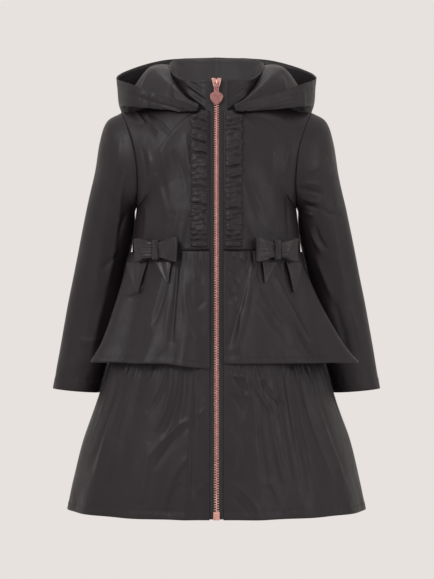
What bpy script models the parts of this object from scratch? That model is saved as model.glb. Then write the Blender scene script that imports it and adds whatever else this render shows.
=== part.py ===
"""A child's hooded raincoat with a zip front, filled out as if worn, in metres with Z up.

The front faces -Y. The origin lies between the shoulders, in the middle of the neck opening.
Cloth is a thin wall on lofted panels, and every panel stops a seam's width short of the next.
"""

import math

import bpy
from mathutils import Vector

# Cloth and seams
CLOTH = 0.0015
SEAM = 0.0003
CURVED_SEAM = 0.0009
MERGE = 0.00001

# Heights of the cross seams, and where the fronts stop beside the zip
WAIST_Z = -0.2165
YOKE_FOOT_Z = -0.3550
PEPLUM_FOOT_Z = -0.3850
HEM_Z = -0.6120
FRONT_EDGE_X = 0.0103
COLLAR_TOP_Z = 0.0434

# Neck seam, by angle from the centre front: angle, x, y, z
NECK = (
    (0, 0.0000, -0.0700, -0.0070),
    (45, 0.0420, -0.0500, 0.0040),
    (90, 0.0600, 0.0000, 0.0270),
    (135, 0.0430, 0.0430, 0.0350),
    (180, 0.0000, 0.0580, 0.0370),
)

# Top edge of the stand collar, which flares and rises to the back: angle, x, y, z
COLLAR_EDGE = (
    (0, 0.0000, -0.0635, COLLAR_TOP_Z),
    (45, 0.0500, -0.0440, 0.0450),
    (90, 0.0725, 0.0080, 0.0680),
    (135, 0.0640, 0.0740, 0.0915),
    (180, 0.0000, 0.0990, 0.0965),
)

# Body below the neck: height, depth of the centre front, depth of the centre back
BODY_DEPTH = (
    (COLLAR_TOP_Z, 0.0635, 0.0560),
    (0.0370, 0.0643, 0.0580),
    (-0.0070, 0.0700, 0.0790),
    (-0.0550, 0.0800, 0.0910),
    (-0.1050, 0.0890, 0.0960),
    (-0.1500, 0.0940, 0.0950),
    (WAIST_Z, 0.0980, 0.0900),
    (-0.2900, 0.1080, 0.1000),
    (YOKE_FOOT_Z, 0.1180, 0.1100),
    (-0.4460, 0.1310, 0.1270),
    (-0.5080, 0.1400, 0.1380),
    (HEM_Z, 0.1520, 0.1500),
)

# Half width at the side seams: height, half width
BODY_WIDTH = (
    (-0.1500, 0.1238),
    (-0.1850, 0.1275),
    (WAIST_Z, 0.1300),
    (-0.2900, 0.1360),
    (YOKE_FOOT_Z, 0.1500),
    (-0.3920, 0.1660),
    (-0.4460, 0.1840),
    (-0.5080, 0.2060),
    (-0.5700, 0.2210),
    (HEM_Z, 0.2290),
)

# How far a bodice row has turned towards the side where it ends: share of the panel, degrees
BODICE_TURN = (
    (0.00, 0),
    (0.20, 18),
    (0.40, 46),
    (0.65, 86),
    (1.00, 90),
)
ARMHOLE_SHARE = 0.65
ARMHOLE_ROWS = 9
FRONT_NECK_SHARE = ARMHOLE_SHARE * 5 / ARMHOLE_ROWS
BACK_NECK_SHARE = ARMHOLE_SHARE * 3 / ARMHOLE_ROWS

# Sleeve rings from the armhole to the cuff: share, outer x, z, inner x, z, half depth, centre y, scoop
SLEEVE = (
    (0.00, 0.1463, -0.0010, 0.1238, -0.1500, 0.0540, 0.0000, 0.0120),
    (0.08, 0.1690, -0.0150, 0.1256, -0.1530, 0.0530, 0.0020, 0.0060),
    (0.18, 0.1810, -0.0480, 0.1262, -0.1570, 0.0500, 0.0060, 0.0015),
    (0.32, 0.1895, -0.0970, 0.1264, -0.1690, 0.0450, 0.0120, 0.0000),
    (0.46, 0.2025, -0.1520, 0.1290, -0.1960, 0.0420, 0.0180, 0.0000),
    (0.62, 0.2155, -0.2150, 0.1375, -0.2400, 0.0395, 0.0240, 0.0000),
    (0.80, 0.2345, -0.3080, 0.1500, -0.3240, 0.0370, 0.0300, 0.0000),
    (1.00, 0.2560, -0.4298, 0.1820, -0.4361, 0.0345, 0.0340, 0.0000),
)

# Hood from its front end to the centre back: share, neck angle, lip height as a share of the
# collar's, crest out from the collar, outer fold x, y, z, rim x, y, z
HOOD = (
    (0.00, 24, 0.10, 0.003, 0.0290, -0.0730, -0.0060, 0.0300, -0.0750, 0.0000),
    (0.14, 40, 0.25, 0.006, 0.0490, -0.0660, -0.0060, 0.0482, -0.0690, 0.0095),
    (0.30, 60, 0.60, 0.013, 0.0915, -0.0500, -0.0010, 0.0914, -0.0520, 0.0234),
    (0.44, 78, 0.92, 0.022, 0.1310, -0.0290, 0.0050, 0.1323, -0.0290, 0.0400),
    (0.56, 92, 0.97, 0.030, 0.1490, 0.0160, 0.0110, 0.1560, 0.0200, 0.0544),
    (0.72, 118, 0.85, 0.026, 0.1380, 0.0900, -0.0060, 0.1401, 0.0850, 0.0763),
    (0.86, 148, 0.60, 0.020, 0.0870, 0.1360, -0.0380, 0.0837, 0.1250, 0.0977),
    (1.00, 180, 0.50, 0.016, 0.0000, 0.1540, -0.0520, 0.0000, 0.1400, 0.1039),
)
LIP_OUT = 0.0020

# Folds of the peplum: side (-1 photo left, 1 right, 0 both), angle at the waist and at the hem,
# half width in degrees, depth at the hem, and growth: above 1 the fold opens towards the hem
PEPLUM_FOLDS = (
    (0, 38, 40, 26, 0.010, 1.3),
    (1, 22, 8, 6, 0.010, 1.3),
    (1, 25, 50, 12, 0.014, 1.3),
    (1, 74, 70, 10, 0.062, 1.1),
    (-1, 18, 15, 7, 0.010, 1.3),
    (-1, 32, 38, 9, 0.009, 1.3),
    (-1, 72, 70, 12, 0.036, 0.6),
    (0, 118, 118, 10, 0.013, 1.3),
    (0, 142, 146, 12, 0.013, 1.3),
    (0, 166, 168, 9, 0.010, 1.3),
)

# Folds of the skirt tier, in the same columns
SKIRT_FOLDS = (
    (-1, 12, 11, 4, 0.007, 1.3),
    (-1, 30, 32, 9, 0.008, 1.3),
    (-1, 52, 56, 10, 0.007, 1.3),
    (1, 16, 14, 8, 0.008, 1.3),
    (1, 36, 38, 9, 0.007, 1.3),
    (1, 58, 60, 10, 0.008, 1.3),
    (0, 78, 78, 8, 0.003, 1.3),
    (0, 112, 112, 10, 0.009, 1.3),
    (0, 130, 131, 11, 0.008, 1.3),
    (0, 156, 158, 11, 0.009, 1.3),
)

# Gathers: how many each front and each half of the back has, and how far a crest stands out
PEPLUM_GATHERS = 12
SKIRT_GATHERS = 13
GATHER_HEIGHT = 0.0020
PEPLUM_LIFT = 0.0022
PEPLUM_LEFT_DIP = 0.008

# Each tier: top, foot, how far it stands out, its folds, and the dip of its left front at the zip
PEPLUM = (WAIST_Z - SEAM, PEPLUM_FOOT_Z, PEPLUM_LIFT, PEPLUM_FOLDS, PEPLUM_LEFT_DIP)
YOKE = (WAIST_Z - SEAM, YOKE_FOOT_Z, 0.0, (), 0.0)
SKIRT = (YOKE_FOOT_Z - SEAM, HEM_Z, 0.0, SKIRT_FOLDS, 0.0)

# Ruched strip beside the zip
STRIP_TOP_Z = -0.0120
STRIP_FOOT_Z = -0.2100
STRIP_INNER_X = 0.0125
STRIP_WIDTH = 0.0265
STRIP_GATHERS = 21
STRIP_WAVE = 0.0022

# Zip
CHAIN_HALF_WIDTH = 0.0038
CHAIN_THICK = 0.0030
TAPE_INNER_X = 0.0041
TAPE_OUTER_X = FRONT_EDGE_X - SEAM
TAPE_THICK = 0.0010
TAPE_BEHIND = 0.0012
SLIDER_FOOT_Z = 0.0312
BOX_TOP_Z = -0.5998
BOX_HALF_WIDTH = 0.0046
BOX_THICK = 0.0015
BOX_PROUD = 0.0006

# Slider, bridge and pull tab. The tab's top bar turns under the bridge.
SLIDER_BACK = 0.0002
SLIDER_FRONT = 0.0046
PIVOT_Z = 0.0372
PIVOT_OUT = 0.0016
BRIDGE_WIRE = 0.0011
BRIDGE_OUT = 0.0043
BRIDGE_LEG = 0.0036
BRIDGE_BEND = 0.0020
TAB_THICK = 0.0016
TAB_BAR = 0.0008
TAB_HOLE_HALF_WIDTH = 0.0020
TAB_HOLE_FOOT = -0.0095
SLIDER_HALF = ((0.0000, 0.0108), (0.0026, 0.0129), (0.0072, 0.0129), (0.0060, 0.0060), (0.0046, 0.0000))
TAB_HALF = (
    (0.0036, TAB_BAR),
    (0.0036, -0.0140),
    (0.0078, -0.0165),
    (0.0100, -0.0200),
    (0.0096, -0.0240),
    (0.0070, -0.0288),
    (0.0032, -0.0326),
    (0.0000, -0.0336),
)

# Bows, in their own flat: x out to the side, y to the back, z up, then turned with the coat's side
BOW_X = 0.0910
BOW_Y = -0.0840
BOW_Z = -0.2155
BOW_TURN = math.radians(34)
BOW_CLOTH = 0.0012
LOOP_LENGTH = 0.0330
LOOP_ROOT_X = 0.0059
LOOP_ROOT_HALF_HEIGHT = 0.0115
LOOP_TIP_HALF_HEIGHT = 0.0180
LOOP_DEPTH = 0.0046
KNOT_HALF_WIDTH = 0.0060
KNOT_HALF_DEPTH = 0.0058
KNOT_HALF_HEIGHT = 0.0145
TAIL_OUT = 0.0015

# Tails of a bow: name, x at both top corners, x at the tip, top z, tip z
TAILS = (
    ("outer", 0.1010, 0.1240, 0.1130, -0.2330, -0.2790),
    ("inner", 0.0650, 0.0880, 0.0690, -0.2330, -0.2640),
)

COAT = ("coat_cloth", (0.035, 0.028, 0.031, 1), 0.42, 0.0)
TRIM = ("bow_satin", (0.045, 0.036, 0.040, 1), 0.30, 0.0)
TAPE = ("zip_tape", (0.020, 0.017, 0.019, 1), 0.80, 0.0)
METAL = ("rose_gold", (0.62, 0.33, 0.27, 1), 0.28, 1.0)


def clear_scene():
    for obj in list(bpy.data.objects):
        bpy.data.objects.remove(obj, do_unlink=True)


def new_collection(name):
    collection = bpy.data.collections.new(name)
    bpy.context.scene.collection.children.link(collection)
    return collection


def material(spec):
    """The Principled material of one finish, made once and shared."""
    name, colour, roughness, metallic = spec
    found = bpy.data.materials.get(name)
    if found:
        return found
    made = bpy.data.materials.new(name)
    made.use_nodes = True
    shader = made.node_tree.nodes["Principled BSDF"]
    shader.inputs["Base Color"].default_value = colour
    shader.inputs["Roughness"].default_value = roughness
    shader.inputs["Metallic"].default_value = metallic
    return made


def place(name, mesh, finish):
    """Puts a mesh into the coat's collection as one named piece."""
    obj = bpy.data.objects.new(name, mesh)
    mesh.materials.append(material(finish))
    mesh.shade_smooth()
    coat.objects.link(obj)
    return obj


def along(table, key):
    """The columns after the first, at a key between rows, on a smooth curve through the rows."""
    rows = sorted(table)
    key = min(max(key, rows[0][0]), rows[-1][0])
    low = max(i for i in range(len(rows) - 1) if rows[i][0] <= key)
    high = low + 1
    step = rows[high][0] - rows[low][0]
    t = (key - rows[low][0]) / step

    def slope(i, column):
        before = rows[max(i - 1, 0)]
        after = rows[min(i + 1, len(rows) - 1)]
        return (after[column] - before[column]) / (after[0] - before[0]) * step

    values = []
    for column in range(1, len(rows[0])):
        start, end = rows[low][column], rows[high][column]
        from_start = (2 * t**3 - 3 * t**2 + 1) * start + (t**3 - 2 * t**2 + t) * slope(low, column)
        to_end = (3 * t**2 - 2 * t**3) * end + (t**3 - t**2) * slope(high, column)
        values.append(from_start + to_end)
    return values


def ease(t):
    """0 to 1 with level ends."""
    t = min(max(t, 0.0), 1.0)
    return t * t * (3 - 2 * t)


def steps(count):
    return [i / count for i in range(count + 1)]


def mirrored(grid, side):
    """The same grid on the photo's left, side -1, or right, side 1."""
    return [[Vector((side * p.x, p.y, p.z)) for p in row] for row in grid]


def sheet_mesh(name, grid, flip=False, closed=False):
    """A surface on rows of points. Rows run down and columns to the right, as seen from outside."""
    rows, columns = len(grid), len(grid[0])
    mesh = bpy.data.meshes.new(name)
    faces = []
    for i in range(rows - 1):
        for j in range(columns if closed else columns - 1):
            k = (j + 1) % columns
            face = (i * columns + j, (i + 1) * columns + j, (i + 1) * columns + k, i * columns + k)
            faces.append(tuple(reversed(face)) if flip else face)
    mesh.from_pydata([p for row in grid for p in row], [], faces)
    mesh.update()
    return mesh


def cloth_piece(name, grid, finish=COAT, flip=False, closed=False, mirror=False, wall=CLOTH):
    """A cloth wall whose outer face is the grid."""
    obj = place(name, sheet_mesh(name, grid, flip, closed), finish)
    if mirror:
        half = obj.modifiers.new("Other half", "MIRROR")
        half.use_clip = True
        half.merge_threshold = MERGE
    solid = obj.modifiers.new("Cloth", "SOLIDIFY")
    solid.thickness = wall
    solid.offset = -1
    return obj


def neck_point(angle):
    return Vector(along(NECK, angle))


def front_depth(z):
    return along(BODY_DEPTH, z)[0]


def back_depth(z):
    return along(BODY_DEPTH, z)[1]


def half_width(z):
    return along(BODY_WIDTH, z)[0]


def sleeve_point(share, turn):
    """A point of the sleeve on the right, turn 0 on the shoulder line and 90 at its front."""
    out_x, out_z, in_x, in_z, depth, centre_y, scoop = along(SLEEVE, share)
    lean = math.cos(turn)
    side = math.sin(turn)
    x = (out_x + in_x) / 2 + (out_x - in_x) / 2 * lean - scoop * side * side
    z = (out_z + in_z) / 2 + (out_z - in_z) / 2 * lean
    return Vector((x, centre_y - depth * side, z))


def neckline_angle_at_zip():
    """The neck angle where the front's edge meets the neck seam."""
    low, high = 0.0, 45.0
    for _ in range(30):
        middle = (low + high) / 2
        if neck_point(middle).x < FRONT_EDGE_X:
            low = middle
        else:
            high = middle
    return high


def bodice_point(across, down, back):
    """A point of the right half of the bodice: across from the centre to the side or armhole,
    down from the shoulder seam to the waist."""
    neck_share = BACK_NECK_SHARE if back else FRONT_NECK_SHARE
    neck_end = 180.0 if back else neckline_angle_at_zip()
    centre_x = 0.0 if back else FRONT_EDGE_X
    if down < neck_share:
        inner = neck_point(90 + (neck_end - 90) * down / neck_share)
    else:
        top = neck_point(neck_end).z
        z = top + (WAIST_Z - top) * (down - neck_share) / (1 - neck_share)
        inner = Vector((centre_x, back_depth(z) if back else -front_depth(z), z))
    if down < ARMHOLE_SHARE:
        turn = math.pi * down / ARMHOLE_SHARE
        outer = sleeve_point(0, -turn if back else turn)
    else:
        top = SLEEVE[0][4]
        z = top + (WAIST_Z - top) * (down - ARMHOLE_SHARE) / (1 - ARMHOLE_SHARE)
        outer = Vector((half_width(z), 0, z))
    facing = 1 if back else -1
    wrap = math.radians(along(BODICE_TURN, down)[0])
    run = outer.x - inner.x
    fall = (inner.y - outer.y) * facing
    pull = 0.55
    heading = Vector((math.cos(wrap), -facing * math.sin(wrap), 0))
    start = inner + Vector((pull * run, 0, 0))
    end = outer - heading * pull * (run * math.cos(wrap) + fall * math.sin(wrap))
    t = across
    level = inner.lerp(outer, ease(t)).z
    point = inner * (1 - t) ** 3 + start * 3 * t * (1 - t) ** 2 + end * 3 * t * t * (1 - t) + outer * t**3
    return Vector((point.x, point.y + facing * CURVED_SEAM / 2, level))


def ring_point(angle, z, out=0.0):
    """A point round the body at a height, by angle from the centre front, moved outwards."""
    turn = math.radians(angle)
    wide = half_width(z)
    deep = front_depth(z) if angle < 90 else back_depth(z)
    away = Vector((math.sin(turn) / wide, -math.cos(turn) / deep, 0)).normalized()
    return Vector((wide * math.sin(turn), -deep * math.cos(turn), z)) + away * out


def fold_height(folds, side, angle, drop):
    """How far the folds push the cloth out, at a share of the way down from the seam."""
    height = 0.0
    for fold_side, top_angle, hem_angle, spread, depth, growth in folds:
        if fold_side in (0, side):
            middle = top_angle + (hem_angle - top_angle) * drop
            distance = (angle - middle) / spread
            height += depth * drop**growth * math.exp(-distance * distance)
    return height


def tier_point(side, angle, drop, tier, crest=0.0):
    """A point of a tier: folds grow towards the hem, and a gather's crest fades from the seam."""
    top_z, foot_z, lift, folds, dip = tier
    dip = dip * (1 - ease(angle / 30)) if side < 0 else 0.0
    z = top_z + (foot_z - dip - top_z) * drop
    free = ease((angle - centre_edge_angle(z)) / 16)
    gather = GATHER_HEIGHT * crest * (1 - 0.8 * ease(drop * 1.6))
    return ring_point(angle, z, lift + free * (gather + fold_height(folds, side, angle, drop)))


def centre_edge_angle(z):
    """The angle at which a front's edge lies beside the zip."""
    return math.degrees(math.asin(FRONT_EDGE_X / half_width(z)))


def tier_front(name, side, tier, gathers, rows):
    """A front of a tier. Each gather has a crest on every second column."""
    top_z, foot_z = tier[:2]
    columns = max(2 * gathers, 8)
    grid = []
    for drop in steps(rows):
        edge = centre_edge_angle(top_z + (foot_z - top_z) * drop)
        row = []
        for k, across in enumerate(steps(columns)):
            crest = k % 2 if gathers else 0
            point = tier_point(side, edge + (90 - edge) * across, drop, tier, crest)
            if across == 0:
                point.x = FRONT_EDGE_X
            point.y -= CURVED_SEAM / 2
            row.append(point)
        grid.append(row)
    return cloth_piece(name, mirrored(grid, side), flip=side < 0)


def tier_back(name, tier, gathers, rows):
    columns = max(2 * gathers, 8)
    grid = []
    for drop in steps(rows):
        row = []
        for k, across in enumerate(steps(columns)):
            crest = k % 2 if gathers else 0
            point = tier_point(0, 90 + 90 * across, drop, tier, crest)
            if across == 1:
                point.x = 0
            point.y += CURVED_SEAM / 2
            row.append(point)
        grid.append(row)
    return cloth_piece(name, grid, mirror=True)


def bodice():
    """The panels' rows meet the armhole where the sleeve's columns do."""
    down_steps = [ARMHOLE_SHARE * k / ARMHOLE_ROWS for k in range(ARMHOLE_ROWS + 1)] + [0.82, 1]
    for side, word in ((-1, "left"), (1, "right")):
        grid = [[bodice_point(t, down, False) for t in steps(9)] for down in down_steps]
        cloth_piece("bodice_front_" + word, mirrored(grid, side), flip=side < 0)
    grid = [[bodice_point(t, down, True) for t in steps(8)] for down in down_steps]
    cloth_piece("bodice_back", grid, flip=True, mirror=True)


def sleeves():
    around = 2 * ARMHOLE_ROWS
    down_steps = [0, 0.04, 0.08, 0.13, 0.18, 0.25, 0.32, 0.46, 0.62, 0.80, 1]
    for side, word in ((-1, "left"), (1, "right")):
        grid = []
        for share in down_steps:
            ring = [sleeve_point(share, math.tau * k / around) for k in range(around)]
            grid.append([p + Vector((CURVED_SEAM, 0, 0)) for p in ring])
        cloth_piece("sleeve_" + word, mirrored(grid, side), flip=side > 0, closed=True)


def collar_point(angle, rise):
    """A point of the collar's outer face, from the neck seam up to its flared edge."""
    foot = neck_point(angle) + Vector((0, 0, CURVED_SEAM))
    edge = Vector(along(COLLAR_EDGE, angle))
    return foot.lerp(edge, rise)


def collar():
    start = neckline_angle_at_zip()
    grid = []
    for rise in reversed(steps(3)):
        row = []
        for across in steps(13):
            point = collar_point(start + (180 - start) * across, rise)
            if across == 0:
                point.x = FRONT_EDGE_X
            if across == 1:
                point.x = 0
            row.append(point)
        grid.append(row)
    cloth_piece("collar", grid, mirror=True)


def hood_point(share, out):
    """A point of the right half of the hood: out 0 at the neck seam, 1 at the rim. It climbs close
    to the collar, turns over a lip, and falls from a crest to the outer fold."""
    angle, lip_rise, crest_out, fold_x, fold_y, fold_z, rim_x, rim_y, rim_z = along(HOOD, share)
    foot = neck_point(angle)
    away = Vector((foot.x, foot.y, 0)).normalized()
    foot = foot + away * (CLOTH + 3 * SEAM) + Vector((0, 0, 3 * SEAM))
    climb = collar_point(angle, lip_rise / 2) + away * (LIP_OUT + CLOTH)
    lip = collar_point(angle, lip_rise) + away * (LIP_OUT + CLOTH)
    crest = collar_point(angle, lip_rise) + away * (LIP_OUT + crest_out + CLOTH)
    section = (
        (0.00, *foot),
        (0.125, *climb),
        (0.25, *lip),
        (0.375, *crest),
        (0.75, fold_x, fold_y, fold_z),
        (1.00, rim_x, rim_y, rim_z),
    )
    return Vector(along(section, out))


def hood():
    for side, word in ((-1, "left"), (1, "right")):
        grid = []
        for out in reversed(steps(8)):
            row = []
            for share in steps(16):
                point = hood_point(share, out)
                if share == 1:
                    point.x = CURVED_SEAM / 2
                row.append(point)
            grid.append(row)
        cloth_piece("hood_" + word, mirrored(grid, side), flip=side < 0)


def strips():
    """The ruched strips: waves down the front, on the panel's points moved out."""
    per_gather = 2
    count = STRIP_GATHERS * per_gather
    for side, word in ((-1, "left"), (1, "right")):
        grid = []
        for i, down in enumerate(steps(count)):
            z = STRIP_TOP_Z + (STRIP_FOOT_Z - STRIP_TOP_Z) * down
            wave = 1 - math.cos(math.tau * i / per_gather)
            row = []
            for across in (0.0, 0.5, 1.0):
                x = STRIP_INNER_X + STRIP_WIDTH * across
                crown = 1.0 if across == 0.5 else 0.45
                out = CLOTH + 2 * SEAM + STRIP_WAVE * wave * crown
                row.append(Vector((x, chest_y(x, z) - out, z)))
            grid.append(row)
        cloth_piece("ruched_strip_" + word, mirrored(grid, side), flip=side < 0)


def chest_y(x, z):
    """The front panel's y at a place beside the zip, found down and across the panel."""
    low, high = FRONT_NECK_SHARE, 1.0
    down = low
    for _ in range(3):
        across = 0.0
        for _ in range(12):
            across += (x - bodice_point(across, down, False).x) / 0.12
            across = min(max(across, 0.0), 1.0)
        error = bodice_point(across, down, False).z - z
        down = min(max(down + error / 0.21, low), high)
    return bodice_point(across, down, False).y


def zip_rows(top_z, foot_z, count):
    return [top_z + (foot_z - top_z) * t for t in steps(count)]


def zip_parts():
    """The tapes behind the fronts, the chain between them and the box at its foot."""
    chain = []
    for z in zip_rows(SLIDER_FOOT_Z - SEAM, BOX_TOP_Z + SEAM, 24):
        y = -front_depth(z)
        chain.append([Vector((x, y, z)) for x in (-CHAIN_HALF_WIDTH, CHAIN_HALF_WIDTH)])
    cloth_piece("zip_chain", chain, finish=METAL, wall=CHAIN_THICK)
    for side, word in ((-1, "left"), (1, "right")):
        tape = []
        for z in zip_rows(COLLAR_TOP_Z - 0.001, HEM_Z + 0.001, 24):
            y = -front_depth(z) + TAPE_BEHIND
            tape.append([Vector((x, y, z)) for x in (TAPE_INNER_X, TAPE_OUTER_X)])
        cloth_piece("zip_tape_" + word, mirrored(tape, side), finish=TAPE, flip=side < 0, wall=TAPE_THICK)
    box = []
    for z in zip_rows(BOX_TOP_Z, HEM_Z, 2):
        y = -front_depth(z) - BOX_PROUD
        box.append([Vector((x, y, z)) for x in (-BOX_HALF_WIDTH, BOX_HALF_WIDTH)])
    cloth_piece("zip_box", box, finish=METAL, wall=BOX_THICK)


def flat_piece(name, outline, holes, thick, finish, place_at):
    """A plate from an outline in x and z, standing in the coat's front, thick along y."""
    curve = bpy.data.curves.new(name, "CURVE")
    curve.dimensions = "2D"
    curve.fill_mode = "BOTH"
    curve.extrude = thick / 2
    for loop in [outline] + holes:
        spline = curve.splines.new("POLY")
        spline.points.add(len(loop) - 1)
        spline.use_cyclic_u = True
        for spot, (x, z) in zip(spline.points, loop):
            spot.co = (x, z, 0, 1)
    obj = bpy.data.objects.new(name, curve)
    curve.materials.append(material(finish))
    obj.location = place_at
    obj.rotation_euler = (math.pi / 2, 0, 0)
    coat.objects.link(obj)
    return obj


def both_sides(half):
    """A closed outline from its right half, given from top to bottom."""
    left = [(-x, z) for x, z in reversed(half) if x > 0]
    return list(half) + left


def slider_and_pull():
    """The slider, the bridge on its face, and the pull tab whose top bar lies under the bridge."""
    face = -front_depth(PIVOT_Z)
    thick = SLIDER_FRONT + SLIDER_BACK
    middle = face - (SLIDER_FRONT - SLIDER_BACK) / 2
    flat_piece("zip_slider", both_sides(SLIDER_HALF), [], thick, METAL, (0, middle, SLIDER_FOOT_Z))
    front = face - SLIDER_FRONT
    bridge = bpy.data.curves.new("zip_bridge", "CURVE")
    bridge.dimensions = "3D"
    bridge.bevel_depth = BRIDGE_WIRE
    bridge.bevel_resolution = 2
    bridge.use_fill_caps = True
    path = bridge.splines.new("POLY")
    route = [(-SEAM, BRIDGE_LEG)]
    for up in (1, -1):
        for k in range(4):
            turn = math.radians(30 * k if up > 0 else 90 - 30 * k)
            out = BRIDGE_OUT - BRIDGE_BEND * (1 - math.sin(turn))
            route.append((-out, up * (BRIDGE_LEG - BRIDGE_BEND * (1 - math.cos(turn)))))
    route.append((-SEAM, -BRIDGE_LEG))
    path.points.add(len(route) - 1)
    for spot, (out, up) in zip(path.points, route):
        spot.co = (0, front + out, PIVOT_Z + up, 1)
    obj = bpy.data.objects.new("zip_bridge", bridge)
    bridge.materials.append(material(METAL))
    coat.objects.link(obj)
    hole = [
        (-TAB_HOLE_HALF_WIDTH, -TAB_BAR),
        (TAB_HOLE_HALF_WIDTH, -TAB_BAR),
        (TAB_HOLE_HALF_WIDTH, TAB_HOLE_FOOT),
        (-TAB_HOLE_HALF_WIDTH, TAB_HOLE_FOOT),
    ]
    pivot = (0, front - PIVOT_OUT, PIVOT_Z)
    flat_piece("zip_pull_tab", both_sides(TAB_HALF), [hole], TAB_THICK, METAL, pivot)


def seat_bow(obj, side):
    """Puts a bow piece, modelled about the knot's centre, on the coat's side."""
    obj.location = (side * BOW_X, BOW_Y, BOW_Z)
    obj.rotation_euler = (0, 0, side * BOW_TURN)


def bow_loop(name, side, way):
    """One loop: a band that leaves the knot, folds over at its tip and comes back behind."""
    half_turn = 6
    tip = LOOP_ROOT_X + LOOP_LENGTH
    reach = tip - LOOP_DEPTH
    path = [(LOOP_ROOT_X, -LOOP_DEPTH * 0.55), (LOOP_ROOT_X + LOOP_LENGTH * 0.35, -LOOP_DEPTH * 1.1)]
    for k in range(half_turn + 1):
        turn = math.pi * k / half_turn
        path.append((reach + LOOP_DEPTH * math.sin(turn), -LOOP_DEPTH * math.cos(turn)))
    path += [(LOOP_ROOT_X + LOOP_LENGTH * 0.35, LOOP_DEPTH * 0.9), (LOOP_ROOT_X, LOOP_DEPTH * 0.55)]
    grid = []
    for down in steps(4):
        row = []
        for x, y in path:
            share = ease((x - LOOP_ROOT_X) / LOOP_LENGTH)
            half = LOOP_ROOT_HALF_HEIGHT + (LOOP_TIP_HALF_HEIGHT - LOOP_ROOT_HALF_HEIGHT) * share
            row.append(Vector((way * x, y, half * (1 - 2 * down))))
        grid.append(row)
    piece = cloth_piece(name, grid, finish=TRIM, flip=way < 0, wall=BOW_CLOTH)
    seat_bow(piece, side)


def bow_knot(name, side):
    around = 16
    grid = []
    for down in steps(2):
        row = []
        for k in range(around):
            turn = math.tau * k / around
            x = KNOT_HALF_WIDTH * math.sin(turn)
            y = -KNOT_HALF_DEPTH * math.cos(turn)
            row.append(Vector((x, y, KNOT_HALF_HEIGHT * (1 - 2 * down))))
        grid.append(row)
    seat_bow(cloth_piece(name, grid, finish=TRIM, closed=True, wall=BOW_CLOTH), side)


def bow_tail(name, side, corner_in, corner_out, tip, top_z, tip_z):
    """A tail that hangs on the peplum's points, moved out."""
    grid = []
    for down in steps(6):
        z = top_z + (tip_z - top_z) * down
        row = []
        for across in steps(6):
            start = corner_in + (corner_out - corner_in) * across
            x = start + (tip - start) * down * 0.9
            drop = (WAIST_Z - z) / (WAIST_Z - PEPLUM_FOOT_Z)
            angle = math.degrees(math.asin(min(x / (half_width(z) + PEPLUM_LIFT), 1)))
            base = tier_point(side, angle, drop, PEPLUM, 1)
            away = Vector((base.x, base.y, 0)).normalized()
            row.append(base + away * (CLOTH + TAIL_OUT))
        grid.append(row)
    cloth_piece(name, mirrored(grid, side), finish=TRIM, flip=side < 0, wall=BOW_CLOTH)


def bows():
    for side, word in ((-1, "left"), (1, "right")):
        bow_loop("bow_" + word + "_outer_loop", side, side)
        bow_loop("bow_" + word + "_inner_loop", side, -side)
        bow_knot("bow_" + word + "_knot", side)
        for tail, corner_in, corner_out, tip, top_z, tip_z in TAILS:
            bow_tail(f"bow_{word}_{tail}_tail", side, corner_in, corner_out, tip, top_z, tip_z)


def tiers():
    """The peplum, the yoke that it hides, and the skirt tier below."""
    for side, word in ((-1, "left"), (1, "right")):
        tier_front("peplum_front_" + word, side, PEPLUM, PEPLUM_GATHERS, 4)
        tier_front("yoke_front_" + word, side, YOKE, 0, 4)
        tier_front("skirt_front_" + word, side, SKIRT, SKIRT_GATHERS, 4)
    tier_back("peplum_back", PEPLUM, PEPLUM_GATHERS, 4)
    tier_back("yoke_back", YOKE, 0, 4)
    tier_back("skirt_back", SKIRT, SKIRT_GATHERS, 4)


clear_scene()
coat = new_collection("raincoat")
bodice()
sleeves()
collar()
hood()
strips()
tiers()
bows()
zip_parts()
slider_and_pull()
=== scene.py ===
"""Looks for the child's raincoat: cloth shells on the panels' forms, their sewing, and the zip's metal.

Metres, Z up, the front faces -Y. Panels are worked out on the coat's +X half and mirrored for the other.
"""

import math

import bmesh
import bpy
import numpy as np
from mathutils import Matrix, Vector, noise


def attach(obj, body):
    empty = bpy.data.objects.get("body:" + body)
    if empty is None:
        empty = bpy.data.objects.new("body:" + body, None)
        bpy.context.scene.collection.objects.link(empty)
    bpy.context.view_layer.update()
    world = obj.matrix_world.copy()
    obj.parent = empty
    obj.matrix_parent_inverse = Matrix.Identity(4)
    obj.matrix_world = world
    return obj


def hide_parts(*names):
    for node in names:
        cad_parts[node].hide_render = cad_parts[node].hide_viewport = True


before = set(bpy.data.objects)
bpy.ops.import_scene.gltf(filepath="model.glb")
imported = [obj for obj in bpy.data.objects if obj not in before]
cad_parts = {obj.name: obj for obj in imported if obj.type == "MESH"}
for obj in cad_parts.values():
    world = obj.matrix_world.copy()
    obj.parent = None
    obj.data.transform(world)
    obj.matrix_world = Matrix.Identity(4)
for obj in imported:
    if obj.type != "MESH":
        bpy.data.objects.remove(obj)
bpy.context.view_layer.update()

# Cloth, seams and sewing
CLOTH = 0.0012
BOW_CLOTH = 0.0009
CURVED_SEAM = 0.0004
SEAM = 0.0003
SEAM_DIP = 0.0006
SEAM_REACH = 0.0015
ARMHOLE_DIP = 0.30
CREASE_SCALE = 1.55
HEM_BAND = 0.0110
COLLAR_BAND = 0.0060
HOOD_BAND = 0.0140
WAIST_STITCH_FRONT = 0.003
WAIST_STITCH_BACK = 0.004
EDGE_STITCH = 0.002
STRIP_STITCH = 0.0012
STRIP_CLOTH = 0.0008

# How far from a panel's edges its creases fade out
EDGE_FADE = 0.004
TIER_EDGE_FADE = 0.006
HEM_FADE = 0.012
FRONT_EDGE_FADE = 0.012
TIER_FRONT_EDGE_FADE = 0.010

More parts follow.
